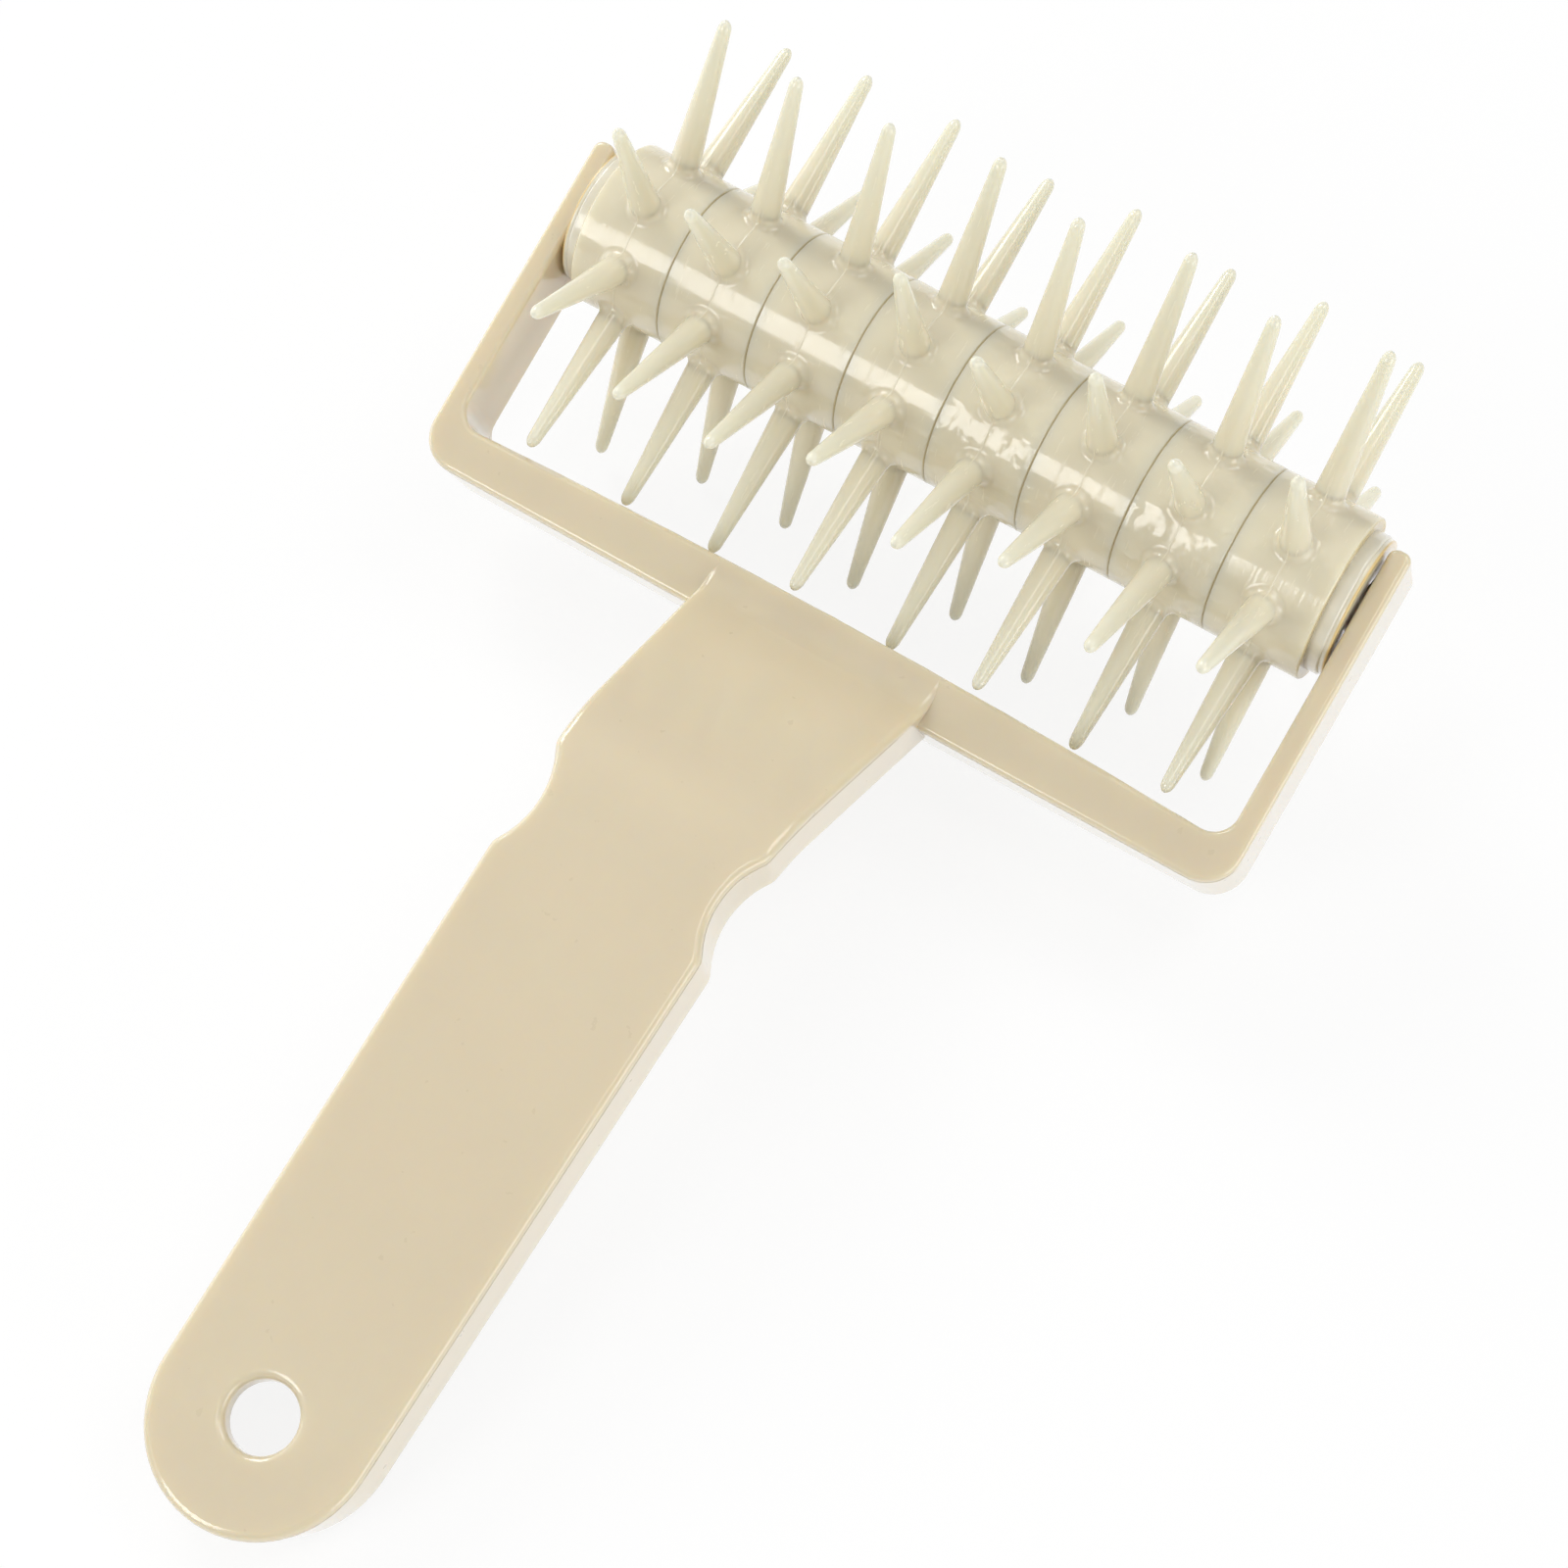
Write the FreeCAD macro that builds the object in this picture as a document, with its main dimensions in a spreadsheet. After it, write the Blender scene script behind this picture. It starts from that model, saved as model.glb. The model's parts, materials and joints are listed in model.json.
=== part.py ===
import FreeCAD, Part
import math
import os
import Sketcher

# A dough docker: a roller of spiked rings that turns between the arms of a one-piece frame and handle.
# Every piece is drawn in the frame's own axes: the axle lies along X through the origin, the handle runs back
# along -Y, and Z is square to the two arms. The finished pieces are then tilted together, so that the tool lies
# on a table on its spikes and the end of its handle, with the hang hole at the origin.

# Driving dimensions, in millimetres and degrees.
SIZES = [
    ("ring_width", 14.4, "one spiked ring along the axle"),
    ("hub_radius", 12.0, "ring body that the spikes stand on"),
    ("hub_edge", 0.2, "bevel round both rims of a ring"),
    ("spike_reach", 34.5, "spike tip from the axle"),
    ("spike_count", 8, "spikes round one ring"),
    ("spike_root_radius", 2.3, "spike at its root inside the ring"),
    ("spike_tip_radius", 0.95, "spike where its short point starts"),
    ("spike_point", 1.2, "length of the short point"),
    ("spike_flat", 0.25, "radius of the blunt end of the point"),
    ("spike_fillet", 1.2, "fillet where a spike leaves the ring"),
    ("key_offset", 4.45, "angle from the keyway to the nearest spike"),
    ("key_width", 3.0, "key rib along the core"),
    ("key_height", 1.4, "key rib above the core"),
    ("core_radius", 8.5, "outside of the core tube"),
    ("core_bore", 6.2, "inside of the core tube"),
    ("fit_clearance", 0.05, "radial gap of the rings and plugs on the core"),
    ("roller_turn", 3.35, "angle of the key from the frame's Z, as the roller lies"),
    ("cap_radius", 10.3, "end cap flange"),
    ("cap_thickness", 2.0, "end cap flange along the axle"),
    ("cap_edge", 0.4, "rounded rim of the flange"),
    ("plug_length", 8.0, "end cap plug inside the core"),
    ("pin_radius", 3.5, "stub pin on an arm"),
    ("pin_engagement", 5.0, "length of the pin inside its cap"),
    ("pin_lead", 0.6, "bevel at the tip of a pin"),
    ("pin_clearance", 0.05, "radial running gap of the cap on the pin"),
    ("pin_end_gap", 0.6, "gap from the pin's tip to the bottom of its bore"),
    ("side_play", 1.2, "gap from a cap to its arm"),
    ("arm_thickness", 3.2, "one arm along the axle"),
    ("arm_reach", 8.2, "arm beyond the axle"),
    ("yoke_height", 13.6, "arms and cross bar along Z"),
    ("bar_clearance", 0.4, "spike tips to the middle of the cross bar"),
    ("bar_bow", 1.4, "how far the bar's front wall falls back at its ends"),
    ("bar_depth", 7.8, "cross bar along Y at its middle"),
    ("bar_slot", 2.6, "coring slot under the cross bar"),
    ("slot_margin", 7.0, "end of the slot to the inside of an arm"),
    ("outer_corner", 5.3, "outer corners of the yoke"),
    ("inner_corner", 3.5, "inner corners of the yoke"),
    ("tip_round", 1.3, "ends of the arms, seen from above"),
    ("yoke_edge", 0.8, "rounded top and bottom edges of the yoke"),
    ("head_width", 35.6, "handle where it leaves the cross bar"),
    ("head_inset", 0.3, "front of the handle behind the front wall of the bar"),
    ("ramp_flat", 0.3, "level strip in front of the ramp's blend"),
    ("ramp_run", 26.8, "ramp along Y, up to the bend"),
    ("ramp_angle", 45.0, "ramp from the plane of the yoke"),
    ("ramp_blend", 7.5, "hollow blend at the foot of the ramp"),
    ("bend_radius", 25.0, "bend from the ramp to the grip"),
    ("grip_slope", 9.66, "grip from the plane of the yoke"),
    ("grip_height", 9.4, "grip square to its top face"),
    ("ramp_height", 8.0, "ramp square to its top face"),
    ("neck_width", 31.57, "tapered head where the finger notches end it"),
    ("grip_width", 31.64, "grip where the finger notches end it"),
    ("end_setback", 114.3, "centre of the round end behind the bar"),
    ("end_width", 29.5, "grip at its round end"),
    ("waist_setback", 33.3, "middle of the finger notches behind the bar"),
    ("waist_width", 27.1, "handle between the finger notches"),
    ("notch_radius", 13.0, "hollow of a finger notch"),
    ("notch_shoulder", 3.0, "rounded shoulders of a finger notch"),
    ("grip_edge", 1.0, "rounded top edge of the handle"),
    ("hole_radius", 4.6, "hang hole"),
    ("hole_rim", 1.2, "rounded rim of the hang hole"),
    ("skin", 3.0, "top skin of the hollow handle and of the cored bar"),
    ("wall", 2.4, "side walls of the hollow handle"),
    ("rib_width", 1.8, "cross rib inside the handle"),
    ("rib_setback", 15.0, "first cross rib behind the bar"),
    ("rib_pitch", 18.5, "one cross rib to the next"),
]

# Which way round each ring sits on the core, from the left: 1 as moulded, -1 turned end for end.
RING_SIDES = (1, -1, -1, 1, -1, 1, -1, 1)
RIB_COUNT = 6
# How far cutting shapes run past the surface that they open, in millimetres.
OVERRUN = 6.0

# Lengths worked out from the driving dimensions, as expressions that the sketches are bound to.
ROLLER_LENGTH = f"({len(RING_SIDES)} * dim.ring_width)"
INSIDE = f"({ROLLER_LENGTH} / 2 + dim.cap_thickness + dim.side_play)"
OUTSIDE = f"({INSIDE} + dim.arm_thickness)"
HALF_HEIGHT = "(dim.yoke_height / 2)"
BAR_FRONT = "(-dim.spike_reach - dim.bar_clearance)"
BAR_ENDS = f"({BAR_FRONT} - dim.bar_bow)"
BAR_REAR = f"({BAR_FRONT} - dim.bar_depth)"
BOW_RADIUS = f"(({INSIDE} ^ 2 + dim.bar_bow ^ 2) / (2 * dim.bar_bow))"
RING_BORE = "(dim.core_radius + dim.fit_clearance)"
END_Y = f"({BAR_REAR} - dim.end_setback)"
WAIST_Y = f"({BAR_REAR} - dim.waist_setback)"
GRIP_Y = f"({WAIST_Y} - dim.notch_shoulder)"
NECK_Y = f"({WAIST_Y} + dim.notch_shoulder)"
# The grip's sides meet its round end smoothly, so they taper by this angle each.
GRIP_TAPER = (f"(acos(dim.end_width / 2 / hypot(dim.grip_width / 2; {GRIP_Y} - {END_Y}))"
              f" - atan2({GRIP_Y} - {END_Y}; dim.grip_width / 2))")
HEAD_FLARE = f"((dim.head_width - dim.neck_width) / 2 / ({BAR_REAR} - {NECK_Y}))"
WIDEST = "max(dim.head_width; dim.neck_width; dim.grip_width; dim.end_width)"
FOOT_Y = f"({BAR_FRONT} - dim.head_inset - dim.ramp_flat - dim.ramp_blend * tan(dim.ramp_angle / 2))"
BEND_Y = f"({FOOT_Y} - dim.ramp_run)"
BEND_Z = f"({HALF_HEIGHT} + dim.ramp_run * tan(dim.ramp_angle))"
END_Z = f"({BEND_Z} + ({BEND_Y} - {END_Y}) * tan(dim.grip_slope))"
# From the centre of the round end to the middle of the finger notches, along the grip's top face.
WAIST_RUN = f"(({WAIST_Y} - {END_Y}) / cos(dim.grip_slope))"

doc = FreeCAD.newDocument("dough_docker")
dim = doc.addObject("Spreadsheet::Sheet", "dim")
for row, (alias, value, meaning) in enumerate(SIZES, 1):
    dim.set(f"A{row}", alias)
    dim.set(f"B{row}", str(value))
    dim.setAlias(f"B{row}", alias)
    dim.set(f"C{row}", meaning)
doc.recompute()


def value_of(text):
    """The present value of an expression, as a float."""
    return float(dim.evalExpression(text))


def new_body(name):
    """An empty PartDesign body."""
    return doc.addObject("PartDesign::Body", name)


def origin_feature(body, role):
    """One of the body's own origin planes or axes, such as XY_Plane."""
    return [feature for feature in body.Origin.OriginFeatures if feature.Role == role][0]


def new_sketch(body, name, role):
    """An empty sketch on one of the body's origin planes."""
    sketch = body.newObject("Sketcher::SketchObject", name)
    sketch.AttachmentSupport = [(origin_feature(body, role), "")]
    sketch.MapMode = "FlatFace"
    return sketch


def new_grip_sketch(body, name):
    """An empty sketch in the plane of the grip's top face, with its origin at the centre of the round end."""
    sketch = new_sketch(body, name, "XY_Plane")
    sketch.AttachmentOffset = FreeCAD.Placement(FreeCAD.Vector(), FreeCAD.Rotation(FreeCAD.Vector(-1, 0, 0), 1))
    sketch.setExpression("AttachmentOffset.Rotation.Angle", "dim.grip_slope")
    sketch.setExpression("AttachmentOffset.Base.y", END_Y)
    sketch.setExpression("AttachmentOffset.Base.z", END_Z)
    return sketch


def bind(sketch, constraint, text):
    """Add a constraint to a sketch, with its value bound to an expression."""
    index = sketch.addConstraint(Sketcher.Constraint(*constraint, value_of(text)))
    sketch.setExpression(f"Constraints[{index}]", text)


def draw_outline(sketch, corners, round_sides=None):
    """Draw a closed outline whose corners are pairs of expressions.

    A side named in round_sides, by the number of the corner that it leaves, is an arc that turns left about its
    centre. The centre lies on the sketch's vertical axis, at the height that round_sides gives for it.
    """
    round_sides = round_sides or {}
    first = sketch.GeometryCount
    count = len(corners)
    points = [FreeCAD.Vector(value_of(across), value_of(up), 0) for across, up in corners]
    for number, start in enumerate(points):
        end = points[(number + 1) % count]
        side = Part.LineSegment(start, end)
        if number in round_sides:
            centre = FreeCAD.Vector(0, value_of(round_sides[number]), 0)
            radius = start.distanceToPoint(centre)
            angles = [math.atan2(point.y - centre.y, point.x) for point in (start, end)]
            circle = Part.Circle(centre, FreeCAD.Vector(0, 0, 1), radius)
            side = Part.ArcOfCircle(circle, angles[0], angles[1])
        sketch.addGeometry(side)
    for number, (across, up) in enumerate(corners):
        side = first + number
        following = first + (number + 1) % count
        sketch.addConstraint(Sketcher.Constraint("Coincident", side, 2, following, 1))
        bind(sketch, ("DistanceX", -1, 1, side, 1), across)
        bind(sketch, ("DistanceY", -1, 1, side, 1), up)
        if number in round_sides:
            bind(sketch, ("DistanceY", -1, 1, side, 3), round_sides[number])


def draw_circle(sketch, across, up, radius):
    """Draw a circle whose centre and radius are bound to expressions."""
    centre = FreeCAD.Vector(value_of(across), value_of(up), 0)
    index = sketch.addGeometry(Part.Circle(centre, FreeCAD.Vector(0, 0, 1), value_of(radius)))
    bind(sketch, ("DistanceX", -1, 1, index, 3), across)
    bind(sketch, ("DistanceY", -1, 1, index, 3), up)
    bind(sketch, ("Radius", index), radius)


def add_pad(body, name, sketch, length, symmetric=True):
    """Pad a sketch, about its plane or away from it."""
    pad = body.newObject("PartDesign::Pad", name)
    pad.Profile = sketch
    pad.setExpression("Length", length)
    if symmetric:
        pad.SideType = "Symmetric"
    return pad


def add_through_pocket(body, name, sketch):
    """Cut a sketch right through the body, on both sides of its plane."""
    pocket = body.newObject("PartDesign::Pocket", name)
    pocket.Profile = sketch
    pocket.Type = "ThroughAll"
    pocket.SideType = "Symmetric"
    return pocket


def add_revolution(body, name, sketch, axis):
    """Turn a sketch once round one of its own axes."""
    revolution = body.newObject("PartDesign::Revolution", name)
    revolution.Profile = sketch
    revolution.ReferenceAxis = (sketch, [axis])
    revolution.Angle = 360
    return revolution


def add_fillet(body, name, radius, wanted):
    """Round the edges of the body's last feature for which wanted is true."""
    doc.recompute()
    base = body.Tip
    names = [f"Edge{number}" for number, edge in enumerate(base.Shape.Edges, 1) if wanted(edge)]
    fillet = body.newObject("PartDesign::Fillet", name)
    fillet.Base = (base, names)
    fillet.setExpression("Radius", radius)
    doc.recompute()
    return fillet


def edge_at(across, along, height=None):
    """A test for straight edges that pass over a point of the XY plane, or lie across the YZ plane."""

    def test(edge):
        middle = edge.BoundBox.Center
        box = edge.BoundBox
        if height is None:
            upright = box.XLength < 1e-6 and box.YLength < 1e-6
            return upright and abs(abs(middle.x) - across) < 1e-3 and abs(middle.y - along) < 1e-3
        level = box.YLength < 1e-6 and box.ZLength < 1e-6
        return level and abs(middle.y - along) < 1e-3 and abs(middle.z - height) < 1e-3

    return test


def top_rim(shape, tilt_limit):
    """A test for the edges that bound the upward faces of a shape, without those that lie across it."""
    counts = {}
    for face in shape.Faces:
        first_u, last_u, first_v, last_v = face.ParameterRange
        normal = face.normalAt((first_u + last_u) / 2, (first_v + last_v) / 2)
        if normal.z > tilt_limit:
            for edge in face.Edges:
                counts[edge.hashCode()] = counts.get(edge.hashCode(), 0) + 1

    def test(edge):
        box = edge.BoundBox
        across = box.YLength < 1e-6 and box.ZLength < 1e-6
        return counts.get(edge.hashCode()) == 1 and not across

    return test


def make_yoke():
    """The two arms, the cross bar and the stub pins."""
    body = new_body("yoke")
    sketch = new_sketch(body, "yoke_plan", "XY_Plane")
    corners = [
        (f"-{OUTSIDE}", BAR_REAR),
        (OUTSIDE, BAR_REAR),
        (OUTSIDE, "dim.arm_reach"),
        (INSIDE, "dim.arm_reach"),
        (INSIDE, BAR_ENDS),
        (f"-{INSIDE}", BAR_ENDS),
        (f"-{INSIDE}", "dim.arm_reach"),
        (f"-{OUTSIDE}", "dim.arm_reach"),
    ]
    front_wall = 4
    draw_outline(sketch, corners, {front_wall: f"{BAR_FRONT} - {BOW_RADIUS}"})
    add_pad(body, "yoke_pad", sketch, "dim.yoke_height")

    inside, outside = value_of(INSIDE), value_of(OUTSIDE)
    add_fillet(body, "outer_corners", "dim.outer_corner", edge_at(outside, value_of(BAR_REAR)))
    add_fillet(body, "inner_corners", "dim.inner_corner", edge_at(inside, value_of(BAR_ENDS)))
    tips = [edge_at(across, dim.arm_reach) for across in (inside, outside)]
    add_fillet(body, "arm_tips", "dim.tip_round", lambda edge: any(tip(edge) for tip in tips))
    height = value_of(HALF_HEIGHT)
    add_fillet(body, "yoke_edges", "dim.yoke_edge",
               lambda edge: edge.BoundBox.ZLength < 1e-6 and abs(abs(edge.BoundBox.ZMin) - height) < 1e-3)

    pin_sketch = new_sketch(body, "pin_round", "YZ_Plane")
    pin_sketch.setExpression("AttachmentOffset.Base.z", f"{INSIDE} - dim.side_play - dim.pin_engagement")
    draw_circle(pin_sketch, "0", "0", "dim.pin_radius")
    length = "dim.side_play + dim.pin_engagement + dim.arm_thickness / 2"
    pin = add_pad(body, "right_pin", pin_sketch, length, symmetric=False)
    pair = body.newObject("PartDesign::Mirrored", "both_pins")
    pair.Originals = [pin]
    pair.MirrorPlane = (origin_feature(body, "YZ_Plane"), [""])
    body.Tip = pair
    doc.recompute()
    pin_tip = inside - dim.side_play - dim.pin_engagement
    bevel = body.newObject("PartDesign::Chamfer", "pin_leads")
    bevel.Base = (pair, [
        f"Edge{number}" for number, edge in enumerate(pair.Shape.Edges, 1)
        if edge.BoundBox.XLength < 1e-6 and abs(abs(edge.BoundBox.XMin) - pin_tip) < 1e-3
    ])
    bevel.setExpression("Size", "dim.pin_lead")
    doc.recompute()
    return body


def side_corners(upper, lower, front):
    """The corners of the handle seen from the side, between two depths under its top face.

    They run from the ramp along the upper depth to the rear, and back along the lower depth. A depth is a pair of
    expressions, one square to the ramp and one square to the grip. The ramp stops at the Y called front.
    """
    rear = f"({END_Y} - dim.end_width / 2 - {OVERRUN})"

    def at_front(ramp_depth):
        return front, f"({BEND_Z} + ({BEND_Y} - {front}) * tan(dim.ramp_angle) - {ramp_depth})"

    def at_bend(ramp_depth, grip_depth):
        back = f"(({ramp_depth} - {grip_depth}) / (tan(dim.ramp_angle) - tan(dim.grip_slope)))"
        return f"({BEND_Y} - {back})", f"({BEND_Z} + {back} * tan(dim.grip_slope) - {grip_depth})"

    def at_rear(grip_depth):
        return rear, f"({BEND_Z} + ({BEND_Y} - {rear}) * tan(dim.grip_slope) - {grip_depth})"

    # Depths measured along Z instead of square to the faces.
    (high_ramp, high_grip), (low_ramp, low_grip) = (
        (f"({ramp} / cos(dim.ramp_angle))", f"({grip} / cos(dim.grip_slope))") for ramp, grip in (upper, lower))
    return [
        at_front(high_ramp), at_bend(high_ramp, high_grip), at_rear(high_grip),
        at_rear(low_grip), at_bend(low_ramp, low_grip), at_front(low_ramp),
    ]


def trim_to_plan(body, inset):
    """Cut a body to the handle's plan and scoop out the finger notches, inset all round by an expression."""
    plan = new_sketch(body, f"{body.Name}_plan", "XY_Plane")
    end_radius = f"(dim.end_width / 2 - {inset})"
    front = f"({BAR_FRONT} + {OVERRUN})"
    right = [
        (f"{end_radius} * cos{GRIP_TAPER}", f"{END_Y} - {end_radius} * sin{GRIP_TAPER}"),
        (f"dim.grip_width / 2 - {inset}", GRIP_Y),
        (f"dim.neck_width / 2 - {inset}", NECK_Y),
        (f"dim.head_width / 2 + {HEAD_FLARE} * ({front} - {BAR_REAR}) - {inset}", front),
    ]
    left = [(f"-({across})", along) for across, along in reversed(right)]
    round_end = len(right) + len(left) - 1
    draw_outline(plan, right + left, {round_end: END_Y})
    side = f"({WIDEST} + {OVERRUN})"
    back = f"({END_Y} - dim.end_width - {OVERRUN})"
    ahead = f"({BAR_FRONT} + 2 * {OVERRUN})"
    draw_outline(plan, [(f"-{side}", back), (side, back), (side, ahead), (f"-{side}", ahead)])
    add_through_pocket(body, f"{body.Name}_trim", plan)

    notches = new_grip_sketch(body, f"{body.Name}_notches")
    for sign in ("", "-"):
        across = f"{sign}(dim.waist_width / 2 + dim.notch_radius)"
        draw_circle(notches, across, WAIST_RUN, f"dim.notch_radius + {inset}")
    add_through_pocket(body, f"{body.Name}_waist", notches)
    doc.recompute()


def make_grip():
    """The outside of the raised handle, still solid, with its waist and hang hole."""
    body = new_body("grip")
    side = new_sketch(body, "grip_side", "YZ_Plane")
    front = f"({BAR_FRONT} - dim.head_inset)"
    behind = f"({BAR_REAR} + dim.head_inset)"
    corners = side_corners(("0", "0"), ("dim.ramp_height", "dim.grip_height"), behind)
    bend, inner_bend, under_ramp = corners[1], corners[4], corners[5]
    draw_outline(side, [(front, HALF_HEIGHT), (FOOT_Y, HALF_HEIGHT), *corners[1:], (front, under_ramp[1])])
    add_pad(body, "grip_pad", side, f"{WIDEST} + {OVERRUN}")

    bends = [
        ("ramp_foot", "dim.ramp_blend", (FOOT_Y, HALF_HEIGHT)),
        ("outer_bend", "dim.bend_radius", bend),
        ("inner_bend", "dim.bend_radius - dim.grip_height", inner_bend),
    ]
    for name, radius, (along, height) in bends:
        add_fillet(body, name, radius, edge_at(0, value_of(along), value_of(height)))
    trim_to_plan(body, "0")

    slope = math.radians(dim.grip_slope)
    square = FreeCAD.Vector(0, math.sin(slope), math.cos(slope))
    forward = FreeCAD.Vector(0, math.cos(slope), -math.sin(slope))
    end = FreeCAD.Vector(0, value_of(END_Y), value_of(END_Z))

    def at_shoulder(edge):
        chord = edge.Vertexes[-1].Point - edge.Vertexes[0].Point
        along = (edge.BoundBox.Center - end).dot(forward) - value_of(WAIST_RUN)
        return abs(chord.dot(square)) > 0.99 * chord.Length > 0 and 1 < abs(along) < dim.notch_radius

    add_fillet(body, "shoulders", "dim.notch_shoulder", at_shoulder)
    add_fillet(body, "grip_edges", "dim.grip_edge", top_rim(body.Tip.Shape, 0.3))

    hole = new_grip_sketch(body, "hole_round")
    draw_circle(hole, "0", "0", "dim.hole_radius")
    add_through_pocket(body, "hang_hole", hole)
    doc.recompute()
    rim = top_rim(body.Tip.Shape, 0.9)
    add_fillet(body, "hole_rim", "dim.hole_rim",
               lambda edge: rim(edge) and abs(edge.BoundBox.XLength - 2 * dim.hole_radius) < 1e-3)
    return body


def make_hollow():
    """The space under the handle's skin, without the cross ribs, and the slot under the cross bar."""
    body = new_body("hollow")
    side = new_sketch(body, "hollow_side", "YZ_Plane")
    below = (f"(dim.ramp_height + {OVERRUN})", f"(dim.grip_height + {OVERRUN})")
    draw_outline(side, side_corners(("dim.skin", "dim.skin"), below, BAR_REAR))
    add_pad(body, "hollow_pad", side, f"{WIDEST} + {OVERRUN}")
    trim_to_plan(body, "dim.wall")

    ribs = []
    for number in range(RIB_COUNT):
        rib = doc.addObject("Part::Box", f"rib_{number + 1}")
        rib.setExpression("Length", f"2 * {WIDEST}")
        rib.setExpression("Width", "dim.rib_width")
        rib.setExpression("Height", "2 * dim.end_setback")
        middle = f"{BAR_REAR} - dim.rib_setback - {number} * dim.rib_pitch"
        rib.setExpression("Placement.Base.x", f"-{WIDEST}")
        rib.setExpression("Placement.Base.y", f"{middle} - dim.rib_width / 2")
        rib.setExpression("Placement.Base.z", "-dim.end_setback")
        ribs.append(rib)
    rib_group = doc.addObject("Part::MultiFuse", "ribs")
    rib_group.Shapes = ribs
    cells = doc.addObject("Part::Cut", "cells")
    cells.Base = body
    cells.Tool = rib_group

    slot = doc.addObject("Part::Box", "bar_slot")
    slot.setExpression("Length", f"2 * ({INSIDE} - dim.slot_margin)")
    slot.setExpression("Width", "dim.bar_slot")
    slot.setExpression("Height", f"dim.yoke_height - dim.skin + {OVERRUN}")
    slot.setExpression("Placement.Base.x", f"dim.slot_margin - {INSIDE}")
    slot.setExpression("Placement.Base.y", f"({BAR_REAR} + {BAR_ENDS} - dim.bar_slot) / 2")
    slot.setExpression("Placement.Base.z", f"-{HALF_HEIGHT} - {OVERRUN}")
    hollows = doc.addObject("Part::MultiFuse", "hollows")
    hollows.Shapes = [cells, slot]
    return hollows


def make_handle_frame():
    """The one moulding: yoke and grip joined, then hollowed from below."""
    joined = doc.addObject("Part::MultiFuse", "joined")
    joined.Shapes = [make_yoke(), make_grip()]
    moulding = doc.addObject("Part::Cut", "handle_frame")
    moulding.Base = joined
    moulding.Tool = make_hollow()
    return moulding


def make_roller_core():
    """The tube inside the rings, with its key rib along +Z."""
    body = new_body("roller_core")
    tube = new_sketch(body, "tube_round", "YZ_Plane")
    draw_circle(tube, "0", "0", "dim.core_radius")
    draw_circle(tube, "0", "0", "dim.core_bore")
    add_pad(body, "tube", tube, ROLLER_LENGTH)
    key = new_sketch(body, "key_section", "YZ_Plane")
    half = "dim.key_width / 2"
    foot = "(dim.core_radius + dim.core_bore) / 2"
    top = "dim.core_radius + dim.key_height"
    draw_outline(key, [(f"-{half}", foot), (half, foot), (half, top), (f"-{half}", top)])
    add_pad(body, "key_rib", key, ROLLER_LENGTH)
    return body


def make_spiked_ring(name):
    """One ring about X, with a spike along +Z and its keyway a few degrees off that spike."""
    body = new_body(name)
    section = new_sketch(body, f"{name}_section", "XY_Plane")
    half = "dim.ring_width / 2"
    flat = "(dim.ring_width / 2 - dim.hub_edge)"
    shoulder = "dim.hub_radius - dim.hub_edge"
    draw_outline(section, [
        (f"-{half}", RING_BORE), (half, RING_BORE), (half, shoulder), (flat, "dim.hub_radius"),
        (f"-{flat}", "dim.hub_radius"), (f"-{half}", shoulder),
    ])
    add_revolution(body, f"{name}_hub", section, "H_Axis")

    profile = new_sketch(body, f"{name}_spike_profile", "XZ_Plane")
    root = f"(dim.hub_radius + {RING_BORE}) / 2"
    point = "dim.spike_reach - dim.spike_point"
    draw_outline(profile, [
        ("0", root), ("dim.spike_root_radius", root), ("dim.spike_tip_radius", point),
        ("dim.spike_flat", "dim.spike_reach"), ("0", "dim.spike_reach"),
    ])
    spike = add_revolution(body, f"{name}_spike", profile, "V_Axis")
    pattern = body.newObject("PartDesign::PolarPattern", f"{name}_spikes")
    pattern.Originals = [spike]
    pattern.Axis = (origin_feature(body, "X_Axis"), [""])
    pattern.Angle = 360
    pattern.setExpression("Occurrences", "dim.spike_count")
    body.Tip = pattern

    def at_spike_foot(edge):
        if edge.Degenerated or edge.BoundBox.XLength > 3 * dim.spike_root_radius:
            return False
        radii = [math.hypot(point.y, point.z) for point in edge.discretize(5)]
        return all(abs(radius - dim.hub_radius) < 1e-3 for radius in radii) and edge.BoundBox.XLength > 1

    add_fillet(body, f"{name}_feet", "dim.spike_fillet", at_spike_foot)

    keyway = new_sketch(body, f"{name}_keyway_section", "YZ_Plane")
    keyway.AttachmentOffset = FreeCAD.Placement(FreeCAD.Vector(), FreeCAD.Rotation(FreeCAD.Vector(0, 0, 1), 1))
    keyway.setExpression("AttachmentOffset.Rotation.Angle", "dim.key_offset")
    side = "(dim.key_width / 2 + dim.fit_clearance)"
    top = "dim.core_radius + dim.key_height + dim.fit_clearance"
    foot = "dim.core_bore"
    draw_outline(keyway, [(f"-{side}", foot), (side, foot), (side, top), (f"-{side}", top)])
    add_through_pocket(body, f"{name}_keyway", keyway)
    return body


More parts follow.
